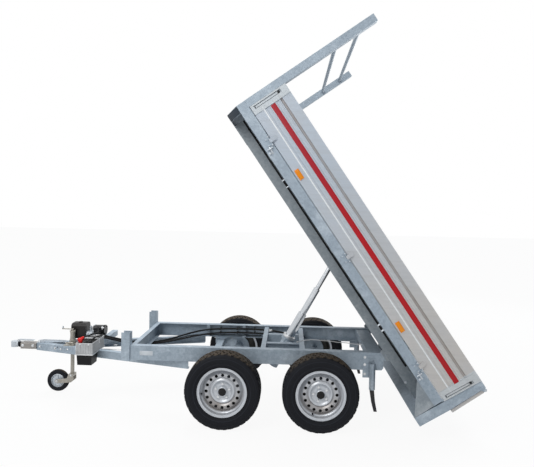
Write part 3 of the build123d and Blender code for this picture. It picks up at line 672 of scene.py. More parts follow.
# wheel bolts, centre caps and valves; a pin's sizes are its span, radius, sides, edge and tip
wheelBolts = {"count": 5, "circle": 0.056, "start": {"front": 0.31, "rear": 0.62},
              "cone": ((0.0305, 0.0375), 0.0125, 20, 0, 0.0105),
              "head": ((0.0365, 0.0485), 0.0095, 6, 0.0015)}
centreCap = {"dome": ((0.050, 0.064), 0.031, 40, 0.004),
             "ring": ((0.036, 0.054), 0.0335, 40, 0.0015)}
valve = {"angle": {"front": 3.30, "rear": 4.35}, "reach": 0.167, "out": 0.030,
         "stem": (0.004, 0.026, 0.0055), "tip": (0.002, 0.024, 0.036, 0.0042)}
for (end, hand), hub in hubs.items():
    body, name = f"{end}_{hand}_wheel", end + hand.title()
    out = Vector((0, sides[hand], 0))
    spots = [hub + spoke(turn) * wheelBolts["circle"]
             for turn in turnsOf(wheelBolts["count"], wheelBolts["start"][end])]
    heads = row(lambda spot: [pin(spot, out, *wheelBolts["cone"]),
                              pin(spot, out, *wheelBolts["head"])], spots)
    keep(heads, name + "WheelBolts", body, "boltSteel")
    cap = [pin(hub, out, *sizes) for sizes in centreCap.values()]
    keep(cap, name + "CentreCap", body, "plastic")
    way = spoke(valve["angle"][end])
    foot = hub + way * valve["reach"] + out * valve["out"]
    lean, rise, wide = valve["stem"]
    bend = foot - way * lean
    stem = rod(foot, bend + out * rise, wide, 16, 0.001)
    lean, low, high, wide = valve["tip"]
    tip = rod(bend + out * low, bend - way * lean + out * high, wide, 16, 0.001)
    keep([stem, tip], name + "Valve", body, "rubber")
print("wheel fittings made")

# drop sides: stripe and reflectors, placed along and across the board
stripe = {"along": (-2.150, 0.340), "across": (0.301, 0.341), "y": 0.7956, "thick": 0.0028}
reflector = {"along": (-1.607, -0.242), "across": 0.197,  # a layer is y, size and edge
             "layers": ((0.7975, (0.086, 0.007, 0.036), 0.0025),
                        (0.8005, (0.074, 0.005, 0.027), 0.0015))}
for hand, side in sides.items():
    (front, rear), (low, high) = stripe["along"], stripe["across"]
    tape = block(bedPoint((front + rear) / 2, (low + high) / 2, side * stripe["y"]),
                 (rear - front, stripe["thick"], high - low), bedTurn, 0.0004)
    keep(tape, hand + "RedStripe", hand + "_dropside", "redTape")
    lenses = []
    for y, size, edge in reflector["layers"]:
        lenses += blocks([bedPoint(u, reflector["across"], side * y)
                          for u in reflector["along"]], size, bedTurn, edge)
    keep(lenses, hand + "Reflectors", hand + "_dropside", "amber")
print("board trim made")

# bolts of the prop brackets, axles and drawbars; a head is its radius, height and washer
frameBolts = {"bracket": (1.196, 0.444, (0.530, 0.470, 0.392)), "bracketHead": (0.0075,),
              "axle": ((-0.215, -0.055), 0.408, 0.430), "axleHead": (0.009,),
              "drawbar": ((-1.722, -1.560, -1.500), 0.418), "drawbarHead": (0.007,),
              "slopeFrom": (-0.265, 0.430), "slope": 0.2718}


def drawbarFace(x):
    startX, startY = frameBolts["slopeFrom"]
    return startY + (x - startX) * frameBolts["slope"]


heads = []
for side in sides.values():
    x, y, heights = frameBolts["bracket"]
    heads += bolts([(x, side * y, z) for z in heights], (0, side, 0),
                   *frameBolts["bracketHead"])
    steps, y, z = frameBolts["axle"]
    heads += bolts([(x + step, side * y, z) for x in wheelX.values() for step in steps], upright,
                   *frameBolts["axleHead"])
    places, z = frameBolts["drawbar"]
    heads += bolts([(x, side * drawbarFace(x), z) for x in places], (0, side, 0),
                   *frameBolts["drawbarHead"])
keep(heads, "frameBolts", "frame", "boltSteel")

trayBolts = {"z": 0.450, "sideX": (-1.235, -1.180, -1.125), "sideY": (-0.354, -0.0745),
             "endX": (-1.2512, -1.1070), "endY": (-0.300, -0.214, -0.130),
             "lipHead": (0.005, 0.004, False), "faceHead": (0.006, 0.004),
             "face": ((-1.215, -0.3510, 0.540), (-1.140, -0.3510, 0.540))}
spots = [(x, y, trayBolts["z"]) for x in trayBolts["sideX"] for y in trayBolts["sideY"]]
spots += [(x, y, trayBolts["z"]) for x in trayBolts["endX"] for y in trayBolts["endY"]]
heads = bolts(spots, upright, *trayBolts["lipHead"])
heads += bolts(trayBolts["face"], (0, -1, 0), *trayBolts["faceHead"])
keep(heads, "batteryTrayBolts", "frame", "boltSteel")
print("bolts made")

# brake back plates, behind the wheels' holes; the section's points are (across, radius)
brakePlate = {
    "y": 0.590, "steps": 48, "boltY": 0.616, "boltReach": 0.132, "head": (0.007, 0.004, False),
    "boltTurns": (0.6, 2.2, 3.8, 5.4),
    "section": [(0.006, 0.108), (0.026, 0.112), (0.026, 0.149), (0.022, 0.1525),
                (0.010, 0.1535), (0.000, 0.160), (-0.003, 0.168), (-0.008, 0.168),
                (-0.006, 0.158), (0.006, 0.149), (0.018, 0.146), (0.018, 0.116),
                (-0.002, 0.108)]}


def brakePair(axle):
    parts = []
    for side in sides.values():
        out = Vector((0, side, 0))
        shape = [(side * across, reach) for across, reach in brakePlate["section"]]
        parts.append(turned(shape, axle + out * brakePlate["y"], brakePlate["steps"]))
        face = axle + out * brakePlate["boltY"]
        parts += bolts([face + spoke(turn) * brakePlate["boltReach"]
                        for turn in brakePlate["boltTurns"]], out, *brakePlate["head"])
    pair = join(parts)
    bpy.ops.object.shade_smooth_by_angle(angle=radians(35))
    return pair


axles = [Vector((x, 0, wheelZ)) for x in wheelX.values()]
for end, pair in zip(wheelX, row(brakePair, axles)):
    keep(pair, f"{end}BrakePlates", "frame", "brakePlate")
print("brake plates made")


# hoses, cables and the safety wire, held by clips and fittings
def heldLine(points, radius):
    clearSelection()
    line = bpy.data.curves.new("line", "CURVE")
    line.dimensions = "3D"
    spline = line.splines.new("NURBS")
    spline.points.add(len(points) - 1)
    for point, spot in zip(spline.points, points):
        point.co = (*spot, 1.0)
    spline.order_u = 3
    spline.use_endpoint_u = True
    line.resolution_u = 10
    line.bevel_depth = radius
    line.bevel_resolution = 3
    line.use_fill_caps = True
    made = bpy.data.objects.new("line", line)
    bpy.context.scene.collection.objects.link(made)
    takeUp(made)
    bpy.ops.object.convert(target="MESH")
    return bpy.context.object


# each run: its radius and the places it passes
hoseRuns = {
    "pressureHose": (0.0090, [
        (-1.297, 0.040, 0.505), (-1.297, 0.012, 0.508), (-1.235, 0.004, 0.519),
        (-1.150, 0.022, 0.520), (-1.040, 0.085, 0.480), (-0.930, 0.150, 0.436),
        (-0.800, 0.186, 0.424), (-0.700, 0.206, 0.426), (-0.560, 0.250, 0.452),
        (-0.400, 0.318, 0.494), (-0.240, 0.358, 0.524), (-0.060, 0.364, 0.534),
        (0.120, 0.364, 0.538), (0.270, 0.362, 0.536), (0.355, 0.360, 0.530)]),
    "returnHose": (0.0085, [
        (-1.297, 0.052, 0.482), (-1.290, 0.020, 0.484), (-1.220, -0.020, 0.512),
        (-1.150, -0.010, 0.518), (-1.045, 0.050, 0.474), (-0.930, 0.116, 0.432),
        (-0.800, 0.154, 0.420), (-0.700, 0.176, 0.420), (-0.560, 0.214, 0.438),
        (-0.400, 0.286, 0.462), (-0.240, 0.344, 0.484), (-0.060, 0.362, 0.496),
        (0.120, 0.363, 0.500), (0.270, 0.360, 0.498), (0.355, 0.358, 0.494)]),
    "cradleHose": (0.0090, [
        (0.385, 0.360, 0.530), (0.440, 0.352, 0.526), (0.505, 0.320, 0.522),
        (0.545, 0.262, 0.528), (0.550, 0.206, 0.530), (0.550, 0.158, 0.530)]),
    "controlCable": (0.0042, [
        (-1.180, 0.060, 0.520), (-1.130, 0.070, 0.512), (-1.020, 0.110, 0.455),
        (-0.900, 0.196, 0.412), (-0.790, 0.222, 0.408), (-0.690, 0.232, 0.414),
        (-0.540, 0.282, 0.436), (-0.400, 0.338, 0.470), (-0.240, 0.366, 0.470),
        (0.000, 0.370, 0.474), (0.300, 0.368, 0.474)])}
for name, (radius, points) in hoseRuns.items():
    keep(heldLine(points, radius), name, "frame", "rubber")

# each end fitting: the way it points and where it stands
hoseEnds = {"nut": ((-0.001, 0.012), 0.0135, 6, 0.0012),
            "sleeve": ((0.010, 0.032), 0.0108, 20, 0.001),
            "ends": (((0, -1, 0), ((-1.297, 0.047, 0.505), (-1.297, 0.052, 0.482))),
                     ((-1, 0, 0), ((0.368, 0.360, 0.530), (0.368, 0.358, 0.494))),
                     ((1, 0, 0), ((0.374, 0.360, 0.530),)),
                     ((0, 1, 0), ((0.550, 0.136, 0.530),)))}
fittings = []
for way, spots in hoseEnds["ends"]:
    fittings += row(lambda spot: [pin(spot, way, *hoseEnds["nut"]),
                                  pin(spot, way, *hoseEnds["sleeve"])], spots)
keep(fittings, "hoseFittings", "frame", "boltSteel")

# each clip: its place on the upper hose and its reach to the rail
hoseClip = {"places": ((-0.110, 0.364, 0.531, 0.070), (0.060, 0.364, 0.536, 0.070),
                       (0.230, 0.363, 0.537, 0.071)),
            "drop": 0.038, "ring": ((-0.007, 0.007), 0.0118, 24, 0.001), "arm": (0.014, 0.004)}
clips = []
for x, y, z, reach in hoseClip["places"]:
    long, thick = hoseClip["arm"]
    levels = (z, z - hoseClip["drop"])
    clips += pins([(x, y, level) for level in levels], along, *hoseClip["ring"])
    clips += blocks([(x, y + reach / 2, level) for level in levels], (long, reach, thick),
                    edge=thinEdge)
keep(clips, "hoseClips", "frame", "plastic")

safetyWire = {
    "radius": 0.0032,
    "run": [(0.645, -0.140, 0.558), (0.700, -0.118, 0.569), (0.790, -0.088, 0.572),
            (0.860, -0.076, 0.560), (0.935, -0.072, 0.558), (1.010, -0.064, 0.545),
            (1.090, -0.062, 0.542), (1.160, -0.057, 0.531), (1.221, -0.055, 0.529)],
    "ends": (((0.645, -0.140, 0.5502), (0.645, -0.140, 0.562), 0.007),
             ((1.2250, -0.055, 0.529), (1.214, -0.055, 0.529), 0.008),
             ((1.205, -0.0555, 0.5296), (1.184, -0.056, 0.5304), 0.0052))}
wire = [heldLine(safetyWire["run"], safetyWire["radius"])]
wire += [rod(*ends, 16, 0.001) for ends in safetyWire["ends"]]
keep(wire, "safetyWire", "frame", "boltSteel")
print("hoses and wire made")

# clamp collar round the cylinder's mouth, placed from the trunnion along the rams
collar = {"trunnion": Vector((0.550, 0, 0.530)), "way": Vector((0.483646, 0, 0.875264)),
          "middle": 0.0442, "ring": (0.056, 0.028, 0.0145, 56, 0.002, 3),
          "boltAt": (0.0580, 0.0485), "bolts": 6, "boltStart": 0.35,
          "head": (0.0042, 0.0035, False), "ribRows": (0.0375, 0.0510), "ribs": 36,
          "ribReach": 0.0562, "rib": (0.0022, 0.0022, 0.008)}


def onRam(distance, angle=0.0, reach=0.0):
    way, across = collar["way"], Vector((0, 1, 0))
    out = across * cos(angle) + across.cross(way) * sin(angle)
    return collar["trunnion"] + way * distance + out * reach


parts = [pipe(onRam(collar["middle"]), collar["way"], *collar["ring"])]
distance, reach = collar["boltAt"]
parts += bolts([onRam(distance, turn, reach)
                for turn in turnsOf(collar["bolts"], collar["boltStart"])],
               collar["way"], *collar["head"])
parts += blocks([onRam(distance, turn, collar["ribReach"]) for distance in collar["ribRows"]
                 for turn in turnsOf(collar["ribs"])], collar["rib"], (0, ramLean, 0), 0.0005)
keep(parts, "cylinderCollar", "cylinder", "boltSteel")
print("cylinder trim made")

# battery lid with its cell plugs and end grips
battery = {"x": -1.179, "y": -0.214, "top": 0.532, "lid": (0.112, 0.236, 0.012),
           "ridge": (0.040, 0.180, 0.008), "plugY": (-0.285, -0.250, -0.215, -0.180, -0.145),
           "plug": ((0.015, 0.021), 0.011, 24, 0.0015), "gripY": (-0.338, -0.090),
           "grip": (0.090, 0.008, 0.010)}
batteryX, top = battery["x"], battery["top"]
parts = [block((batteryX, battery["y"], top + 0.005), battery["lid"], edge=0.003),
         block((batteryX, battery["y"], top + 0.013), battery["ridge"], edge=0.002)]
parts += pins([(batteryX, y, top) for y in battery["plugY"]], upright, *battery["plug"])
parts += blocks([(batteryX, y, top + 0.003) for y in battery["gripY"]], battery["grip"],
                edge=0.002)
keep(parts, "batteryLid", "frame", "plastic")

# folded lips of the tray and the collar, in pairs: size, and the middle of each
collarLips = (
    ((0.003, 0.286, 0.009), ((-1.2530, -0.214, 0.4520), (-1.1050, -0.214, 0.4520))),
    ((0.151, 0.003, 0.009), ((-1.179, -0.3560, 0.4520), (-1.179, -0.0720, 0.4520))),
    ((0.004, 0.281, 0.005), ((-1.2495, -0.214, 0.5485), (-1.1085, -0.214, 0.5485))),
    ((0.145, 0.004, 0.005), ((-1.179, -0.3525, 0.5485), (-1.179, -0.0755, 0.5485))),
    ((0.0045, 0.0045, 0.096), ((-1.2492, -0.3522, 0.4995), (-1.1088, -0.3522, 0.4995))))
parts = []
for size, spots in collarLips:
    parts += blocks(spots, size, edge=thinEdge)
keep(parts, "batteryCollarLips", "frame", "boltSteel")

batteryStrap = {"y": -0.196, "top": (0.144, 0.026, 0.003), "topZ": 0.5555,
                "leg": (0.003, 0.026, 0.044), "legX": (-1.2505, -1.1075), "legZ": 0.535,
                "boltX": (-1.215, -1.143), "boltZ": 0.557, "head": (0.006, 0.005)}
y = batteryStrap["y"]
parts = [block((batteryX, y, batteryStrap["topZ"]), batteryStrap["top"], edge=thinEdge)]
parts += blocks([(x, y, batteryStrap["legZ"]) for x in batteryStrap["legX"]],
                batteryStrap["leg"], edge=thinEdge)
parts += bolts([(x, y, batteryStrap["boltZ"]) for x in batteryStrap["boltX"]], upright,
               *batteryStrap["head"])
keep(parts, "batteryStrap", "frame", "boltSteel")

# red cover of the live terminal, with the cuff that its lead leaves by
redCover = {"spot": (-1.222, -0.322, 0.560), "foot": 0.013, "top": 0.032, "high": 0.050,
            "cuff": ((-1.222, -0.322, 0.583), (-1.196, -0.310, 0.592), 0.010, 20, 0.003)}
clearSelection()
bpy.ops.mesh.primitive_cone_add(vertices=4, radius1=redCover["foot"], radius2=redCover["top"],
                                depth=redCover["high"], location=redCover["spot"],
                                rotation=(0, 0, pi / 4))
boot = soften(seat(bpy.context.object), 0.005, 3)
keep([boot, rod(*redCover["cuff"])], "redTerminalCover", "frame", "redCap")

batteryLeads = {
    "radius": 0.0062, "clampAt": (-1.135, -0.318, 0.536), "clamp": ((0, 0.020), 0.014, 24, 0.003),
    "runs": ([(-1.198, -0.311, 0.591), (-1.176, -0.300, 0.600), (-1.150, -0.255, 0.604),
              (-1.150, -0.160, 0.590), (-1.170, -0.060, 0.575), (-1.190, -0.010, 0.588),
              (-1.205, 0.020, 0.600)],
             [(-1.135, -0.318, 0.552), (-1.132, -0.300, 0.572), (-1.122, -0.240, 0.580),
              (-1.115, -0.130, 0.566), (-1.135, -0.030, 0.545), (-1.170, 0.020, 0.530),
              (-1.190, 0.050, 0.528)])}
leads = [heldLine(run, batteryLeads["radius"]) for run in batteryLeads["runs"]]
leads.append(pin(batteryLeads["clampAt"], upright, *batteryLeads["clamp"]))
keep(leads, "batteryLeads", "frame", "rubber")
print("battery made")

# pump motor's flange, end cap and relay
motor = {"axis": (-1.210, 0.090, 0.558), "flange": ((-0.056, -0.044), 0.0478, 48, 0.0015),
         "cap": ((0.040, 0.054), 0.0475, 48, 0.0015), "screwOut": 0.0548,
         "screwAcross": 0.026, "screw": (0.005, 0.004), "relayAt": (-1.170, 0.038, 0.588),
         "relay": ((-0.004, 0.004), 0.0185, 32, 0.002), "postApart": 0.009,
         "post": ((0.002, 0.014), 0.0035, 12, 0.0006), "nut": ((0.004, 0.008), 0.0065, 6, 0.0006)}
keep(pin(motor["axis"], along, *motor["flange"]), "motorFlange", "frame",
     "castAlloy")
x, y, z = motor["axis"]
shifts = (motor["screwAcross"], -motor["screwAcross"])
parts = [pin(motor["axis"], along, *motor["cap"])]
parts += bolts([(x + motor["screwOut"], y + shift, z + shift) for shift in shifts], along,
               *motor["screw"])
keep(parts, "motorEndCap", "frame", "plastic")
x, y, z = motor["relayAt"]
spots = [(x, y + shift, z) for shift in (-motor["postApart"], motor["postApart"])]
parts = [pin(motor["relayAt"], along, *motor["relay"])]
parts += pins(spots, along, *motor["post"]) + pins(spots, along, *motor["nut"])
keep(parts, "relayPosts", "frame", "boltSteel")

# pump valves: a stack on top, two ports at the side and their plate
pumpValves = {"foot": (-1.297, 0.090, 0.5435),
              "stack": (((0.0, 0.0085), 0.0165, 6, 0.001), ((0.0065, 0.0445), 0.0135, 28, 0.002),
                        ((0.0425, 0.0505), 0.0075, 6, 0.001)),
              "ports": (((-1.312, 0.0475, 0.530), (0, 0.0175), 0.009, 6, 0.001),
                        ((-1.280, 0.0475, 0.530), (0, 0.0215), 0.008, 20, 0.001)),
              "plateAt": (-1.297, 0.0460, 0.508), "plate": (0.056, 0.003, 0.066)}
parts = [pin(pumpValves["foot"], upright, *sizes) for sizes in pumpValves["stack"]]
parts += [pin(spot, (0, -1, 0), *sizes) for spot, *sizes in pumpValves["ports"]]
parts.append(block(pumpValves["plateAt"], pumpValves["plate"]))
keep(parts, "pumpValves", "frame", "castAlloy")

# oil tank: ribbed filler cap, and the moulded ribs of its walls
tank = {"middle": Vector((-1.396, 0.090, 0)), "z": 0.552, "grips": 14, "gripReach": 0.017,
        "cap": ((0.6252, 0.632), 0.017, 32, 0.001), "grip": ((0.6255, 0.6315), 0.0018, 8),
        "ribY": (0.052, 0.128), "rib": (0.112, 0.004, 0.128),
        "bandX": (-1.4625, -1.3305), "band": (0.006, 0.096, 0.006)}
x, y = tank["middle"].xy
parts = [pin(tank["middle"], upright, *tank["cap"])]
parts += pins([(x + tank["gripReach"] * cos(turn), y + tank["gripReach"] * sin(turn), 0)
               for turn in turnsOf(tank["grips"])], upright, *tank["grip"])
parts += blocks([(x, ribY, tank["z"]) for ribY in tank["ribY"]], tank["rib"], edge=0.0015)
parts += blocks([(bandX, y, tank["z"]) for bandX in tank["bandX"]], tank["band"], edge=0.001)
keep(parts, "tankFiller", "frame", "tankPlastic")
print("pump made")

# jockey wheel's clamp, crank grip, fork bolts and rim ribs
jockey = {"x": -1.432, "clampZ": 0.470, "screw": ((-0.0218, -0.075), 0.0065, 20, 0.001),
          "handleY": -0.070, "handle": ((-0.035, 0.035), 0.0055, 20, 0.0015),
          "lugAt": (-0.034, 0.4565), "lug": (0.050, 0.024, 0.006), "sleeveZ": 0.472,
          "sleeve": (0.0265, 0.034, 0.0042, 48, 0.0012), "crankReach": 0.092,
          "grip": ((0.5835, 0.606), 0.0075, 24, 0.003),
          "gripPin": ((0.5775, 0.586), 0.006, 20, 0.001),
          "forkY": 0.035, "forkPinZ": 0.158, "forkPin": (0.0070, 0.006),
          "hub": (-1.563, 0.100), "hubNut": (0.0085, 0.008), "ribY": 0.0065, "ribs": 5,
          "ribStart": 0.3, "rib": ((0.020, 0.052), 0.0042, 12, 0.001)}
x, z = jockey["x"], jockey["clampZ"]
parts = [pin((x, 0, z), (0, 1, 0), *jockey["screw"]),
         pin((x, jockey["handleY"], z), along, *jockey["handle"]),
         block((x, *jockey["lugAt"]), jockey["lug"]),
         pipe((x, 0, jockey["sleeveZ"]), upright, *jockey["sleeve"])]
keep(parts, "jockeyClamp", "frame", "zinc")
foot = (x - jockey["crankReach"], 0, 0)
parts = [pin(foot, upright, *jockey["grip"]), pin(foot, upright, *jockey["gripPin"])]
keep(parts, "jockeyCrankGrip", "frame", "castAlloy")
hubX, hubZ = jockey["hub"]
parts = []
for side in sides.values():
    y = side * jockey["forkY"]
    parts += bolts([(hubX, y, hubZ)], (0, side, 0), *jockey["hubNut"])
    parts += bolts([(x, y, jockey["forkPinZ"])], (0, side, 0), *jockey["forkPin"])
keep(parts, "jockeyForkBolts", "jockey_fork", "boltSteel")
turns = turnsOf(jockey["ribs"], jockey["ribStart"])
parts = row(lambda spot: [pin(spot, spoke(turn), *jockey["rib"]) for turn in turns],
            [(hubX, side * jockey["ribY"], hubZ) for side in sides.values()])
keep(parts, "jockeyRimRibs", "jockey_wheel", "castAlloy")
print("jockey wheel made")

# coupling: bolts, lever pivots, grease nipples, and the brake rod with its guide
coupling = {"boltX": (-1.885, -1.790), "boltY": 0.0350, "boltZ": 0.425, "head": (0.0095, 0.008),
            "pivotAt": (-1.940, 0, 0.4605), "pivot": ((0.012, 0.017), 0.0075, 20, 0.001),
            "nippleX": -1.740, "nippleY": (0.0165, 0.00462), "nippleZ": (0.449, 0.462),
            "nipple": (0.006, 16, 0.001), "rodAt": (0, 0, 0.400),
            "rod": ((-1.7605, -0.1240), 0.0055, 20, 0.0005),
            "rodNut": ((-0.170, -0.130), 0.0095, 6, 0.001),
            "guideAt": (-1.030, 0, 0.4445), "guide": (0.030, 0.020, 0.004)}
parts = []
for side in sides.values():
    out = (0, side, 0)
    parts += bolts([(x, side * coupling["boltY"], coupling["boltZ"])
                    for x in coupling["boltX"]], out, *coupling["head"])
    parts.append(pin(coupling["pivotAt"], out, *coupling["pivot"]))
    foot, tip = ((coupling["nippleX"], side * y, z)
                 for y, z in zip(coupling["nippleY"], coupling["nippleZ"]))
    parts.append(rod(foot, tip, *coupling["nipple"]))
parts += [pin(coupling["rodAt"], along, *coupling[name]) for name in ("rod", "rodNut")]
parts.append(block(coupling["guideAt"], coupling["guide"], edge=thinEdge))
keep(parts, "couplingFittings", "frame", "boltSteel")

# blank plate on the near rail, with its rivets
railPlate = {"x": (-0.618, 0.049), "z": (0.508, 0.013), "y": -0.4386, "rivetY": -0.4390,
             "size": (0.110, 0.0014, 0.036), "rivet": ((0, 0.0015), 0.0026, 12, 0.0005)}
(x, stepX), (z, stepZ) = railPlate["x"], railPlate["z"]
parts = [block((x, railPlate["y"], z), railPlate["size"], edge=0.0005)]
parts += pins([(x + i * stepX, railPlate["rivetY"], z + j * stepZ)
               for i in (-1, 1) for j in (-1, 1)], (0, -1, 0), *railPlate["rivet"])
keep(parts, "blankPlate", "frame", "castAlloy")
print("coupling and plate made")

# bed rails: rope hooks, hinge pins with their bolts, latch brackets, and two more bolts
ropeHook = {"along": (-1.635, -1.577, -0.340, -0.290), "foot": (0.0875, 0.787), "drop": 0.022,
            "out": 0.016, "rise": 0.020, "over": 0.004, "wire": 0.0042}
boardHinge = {"along": (-1.933, -0.894, 0.087), "pinAt": (0.154, 0.806),
              "pin": (0.0078, 20, 0.001), "spans": ((-0.0375, -0.0315), (0.0315, 0.0375)),
              "boltApart": 0.024, "boltAt": (0.128, 0.799), "head": (0.0045, 0.004, False)}
latchBracket = {"along": (-1.884, 0.136), "foot": (0.104, 0.797), "rise": 0.036, "out": 0.011,
                "wire": 0.0045, "over": 0.004, "studAlong": 0.030, "stud": 0.0085,
                "tongueAlong": 0.014, "tongue": (0.060, 0.004, 0.012)}
bedBolts = ((0.254, 0.004, 0.506, 0.0085, 0.007), (0.505, 0.468, 0.7905, 0.0085, 0.004))


def hook(foot):
    out = Vector((0, foot.y / abs(foot.y), 0))
    low = foot - bedSquare * ropeHook["drop"]
    outer = low + out * ropeHook["out"]
    over, wire = out * ropeHook["over"], ropeHook["wire"]
    return [rod(foot, low, wire, 16), rod(low - over, outer + over, wire, 16, 0.0008),
            rod(outer, outer + bedSquare * ropeHook["rise"], wire, 16, 0.001)]


def hingePin(spot):
    return [pin(spot, bedAlong, span, *boardHinge["pin"]) for span in boardHinge["spans"]]


def bracket(low):
    out = Vector((0, low.y / abs(low.y) * latchBracket["out"], 0))
    high = low + bedSquare * latchBracket["rise"]
    over, wire = bedSquare * latchBracket["over"], latchBracket["wire"]
    stud = low + bedAlong * latchBracket["studAlong"]
    tongue = (low + high) / 2 + bedAlong * latchBracket["tongueAlong"]
    return [rod(low, low + out, wire, 16), rod(high, high + out, wire, 16),
            rod(low + out - over, high + out + over, wire, 16, 0.001),
            rod(stud, stud + out, latchBracket["stud"], 20, 0.001),
            block(tongue, latchBracket["tongue"], bedTurn)]


parts = []
for side in sides.values():
    for make, at, places in ((hook, ropeHook["foot"], ropeHook["along"]),
                             (hingePin, boardHinge["pinAt"], boardHinge["along"]),
                             (bracket, latchBracket["foot"], latchBracket["along"])):
        parts += row(make, [bedPoint(u, at[0], side * at[1]) for u in places])
    w, y = boardHinge["boltAt"]
    parts += bolts([bedPoint(u + step, w, side * y) for u in boardHinge["along"]
                    for step in (-boardHinge["boltApart"], boardHinge["boltApart"])],
                   (0, side, 0), *boardHinge["head"])
    for u, w, y, *head in bedBolts:
        parts += bolts([bedPoint(u, w, side * y)], (0, side, 0), *head)
keep(parts, "bedFittings", "bed", "castAlloy")

# black strips along the top of the beams' outer faces: painted shade standing in for the dark gap
# between beam and side rail
gapShadeStrip = {"middle": (-1.040, 0.0775, 0.5075), "size": (2.372, 0.003, 0.014)}
u, w, y = gapShadeStrip["middle"]
parts = blocks([bedPoint(u, w, side * y) for side in sides.values()], gapShadeStrip["size"], bedTurn,
               0.0006)
keep(parts, "beamGapShadeStrips", "bed", "rubber")

# dark plates on the sloping ends of the front sill: painted shade where those ends lie in shadow
sillShadePlate = {"middle": (-2.2605, 0.0373, 0.7462), "size": (0.057, 0.129, 0.0035),
            "lean": radians(46.55), "edge": 0.0015}
u, w, y = sillShadePlate["middle"]
parts = [block(bedPoint(u, w, side * y), sillShadePlate["size"],
               (side * sillShadePlate["lean"], tipAngle, 0), sillShadePlate["edge"])
         for side in sides.values()]
keep(parts, "sillEndShadePlates", "bed", "sillShadeFinish")

# black pins in the slots of the boards' end caps; the rear caps lean. The upper pins are painted
# shade: black for the shadowed hole at each slot's top
latchPin = {"caps": ((-2.204, 0.0), (0.3823, 0.0612)), "leanFrom": 0.168, "y": 0.7835,
            "pins": ((0.408, 0.0085), (0.200, 0.005)), "span": (0, 0.012)}
for hand, side in sides.items():
    parts = []
    for w, radius in latchPin["pins"]:
        parts += pins([bedPoint(u + (w - latchPin["leanFrom"]) * lean, w, side * latchPin["y"])
                       for u, lean in latchPin["caps"]],
                      (0, side, 0), latchPin["span"], radius, 24, 0.0015)
    keep(parts, hand + "LatchPinsAndHoleShade", hand + "_dropside", "plastic")
print("bed fittings made")

# tail: blank number plate, and the bars round each lamp's fields
tail = {"plateAt": (0.4310, -0.020, 0.0), "plate": (0.003, 0.520, 0.110), "barAlong": 0.4785,
        "uprightY": (0.275, 0.345, 0.440, 0.505), "upright": (0.004, 0.004, 0.112),
        "levelW": (-0.055, 0.055), "levelY": 0.390, "level": (0.004, 0.234, 0.004)}
plate = block(bedPoint(*tail["plateAt"]), tail["plate"], bedTurn, thinEdge)
keep(plate, "blankNumberPlate", "bed", "plateWhite")
bars = blocks([bedPoint(tail["barAlong"], 0.0, side * y)
               for side in sides.values() for y in tail["uprightY"]], tail["upright"], bedTurn,
              thinEdge)
bars += blocks([bedPoint(tail["barAlong"], w, side * tail["levelY"])
                for side in sides.values() for w in tail["levelW"]], tail["level"], bedTurn,
               thinEdge)
keep(bars, "lampFrames", "bed", "plastic")
print("tail made")

# floor, light and camera
studio = {"floorSize": 60, "floorZ": -0.0005, "floorTint": (0.62, 0.62, 0.62, 1),
          "floorWhite": 0.93, "skyLow": (0.32, 0.34, 0.37, 1), "skyHigh": (0.93, 0.97, 1.0, 1),
          "skyTop": 0.75, "dome": 0.58}
clearSelection()
bpy.ops.mesh.primitive_plane_add(size=studio["floorSize"], location=(0, 0, studio["floorZ"]))
floor = bpy.context.object
floor.name = "studioFloor"


def backdropShade(tree, surface, kind, mixShare):
    # what the camera and the metal see is white; the light that falls is plain
    path = tree.nodes.new("ShaderNodeLightPath")

    def either(first, second):
        joined = tree.nodes.new("ShaderNodeMath")
        joined.operation = "MAXIMUM"
        tree.links.new(first, joined.inputs[0])
        tree.links.new(second, joined.inputs[1])
        return joined.outputs[0]

    clear = either(path.outputs["Is Glossy Ray"], path.outputs["Is Transmission Ray"])
    seen = either(path.outputs["Is Camera Ray"], clear)
    share = tree.nodes.new("ShaderNodeMath")
    share.operation = "MULTIPLY"
    share.inputs[1].default_value = mixShare
    tree.links.new(seen, share.inputs[0])
    white = tree.nodes.new(kind)
    white.inputs["Color"].default_value = (1, 1, 1, 1)
    white.inputs["Strength"].default_value = 1.0
    blend = tree.nodes.new("ShaderNodeMixShader")
    tree.links.new(share.outputs[0], blend.inputs[0])
    tree.links.new(surface.outputs[0], blend.inputs[1])
    tree.links.new(white.outputs[0], blend.inputs[2])
    return blend


def emptyTree(owner):
    owner.use_nodes = True
    owner.node_tree.nodes.clear()
    return owner.node_tree


floorPaint = bpy.data.materials.new("studioFloor")
tree = emptyTree(floorPaint)
matt = tree.nodes.new("ShaderNodeBsdfDiffuse")
matt.inputs["Color"].default_value = studio["floorTint"]
blend = backdropShade(tree, matt, "ShaderNodeEmission", studio["floorWhite"])
out = tree.nodes.new("ShaderNodeOutputMaterial")
tree.links.new(blend.outputs[0], out.inputs["Surface"])
floor.data.materials.append(floorPaint)

world = bpy.data.worlds.new("studioSky")
bpy.context.scene.world = world
tree = emptyTree(world)
coords = tree.nodes.new("ShaderNodeTexCoord")
split = tree.nodes.new("ShaderNodeSeparateXYZ")
tree.links.new(coords.outputs["Generated"], split.inputs[0])
sky = tree.nodes.new("ShaderNodeValToRGB")
low, high = sky.color_ramp.elements
low.position, low.color = 0.0, studio["skyLow"]
high.position, high.color = studio["skyTop"], studio["skyHigh"]
tree.links.new(split.outputs["Z"], sky.inputs[0])
dome = tree.nodes.new("ShaderNodeBackground")
dome.inputs["Strength"].default_value = studio["dome"]
tree.links.new(sky.outputs[0], dome.inputs["Color"])
blend = backdropShade(tree, dome, "ShaderNodeBackground", 1.0)
out = tree.nodes.new("ShaderNodeOutputWorld")
tree.links.new(blend.outputs[0], out.inputs["Surface"])

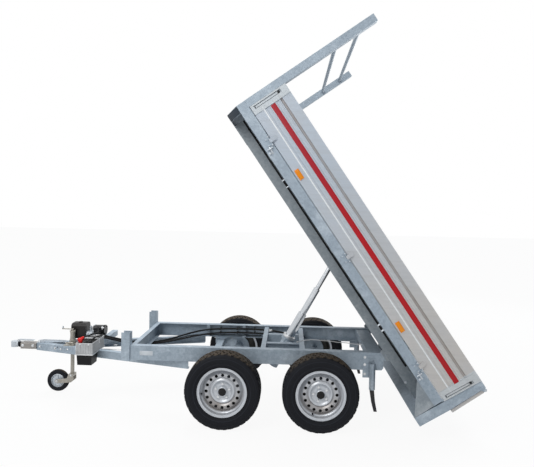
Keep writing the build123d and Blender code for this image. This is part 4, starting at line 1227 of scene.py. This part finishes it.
studioLights = {  # kind, place, aim, size or spread, strength, tint
    "keyLight": ("AREA", (-2.5, -4.5, 5.5), (0.2, 0, 0.9), 4.0, 240, (1.0, 0.99, 0.97)),
    "topLight": ("SUN", (0.8, 1.6, 6.5), (0.3, 0, 0.5), 0.6, 1.6, (0.97, 0.99, 1.0)),
    "backLight": ("AREA", (4.0, 4.5, 3.5), (0.3, 0, 0.8), 3.0, 80, (0.96, 0.98, 1.0)),
}
for name, (kind, place, aim, spread, power, tint) in studioLights.items():
    lamp = bpy.data.lights.new(name, kind)
    if kind == "SUN":
        lamp.angle = spread
    else:
        lamp.size = spread
    lamp.energy = power
    lamp.color = tint
    holder = bpy.data.objects.new(name, lamp)
    bpy.context.scene.collection.objects.link(holder)
    holder.location = place
    holder.rotation_euler = (Vector(aim) - Vector(place)).to_track_quat("-Z", "Y").to_euler()

# the photo's camera: place in metres, angles in radians, the rest in the photo's pixels
photoCamera = {"place": (0.5508, -4.508, 1.740), "yaw": 0.0311, "pitch": -0.0312,
               "roll": 0.0206, "focal": 496.53, "middle": (273.77, 223.44),
               "frame": (534, 467)}


def makeCamera(view):
    yaw, pitch, roll = view["yaw"], view["pitch"], view["roll"]
    ahead = Vector((-sin(yaw) * cos(pitch), cos(yaw) * cos(pitch), sin(pitch)))
    right = ahead.cross(Vector((0, 0, 1))).normalized()
    up = right.cross(ahead)
    rolledRight = cos(roll) * right + sin(roll) * up
    rolledUp = cos(roll) * up - sin(roll) * right
    lens = bpy.data.cameras.new("photoCamera")
    width, height = view["frame"]
    lens.sensor_width = 36
    lens.sensor_fit = "HORIZONTAL"
    lens.lens = view["focal"] / width * 36
    lens.shift_x = (width / 2 - view["middle"][0]) / width
    lens.shift_y = (view["middle"][1] - height / 2) / width
    holder = bpy.data.objects.new("photoCamera", lens)
    bpy.context.scene.collection.objects.link(holder)
    facing = Matrix((rolledRight, rolledUp, -ahead)).transposed().to_4x4()
    holder.matrix_world = Matrix.Translation(Vector(view["place"])) @ facing
    bpy.context.scene.camera = holder


makeCamera(photoCamera)
bpy.context.scene.view_settings.view_transform = "Standard"
print("stage, lights and camera set")
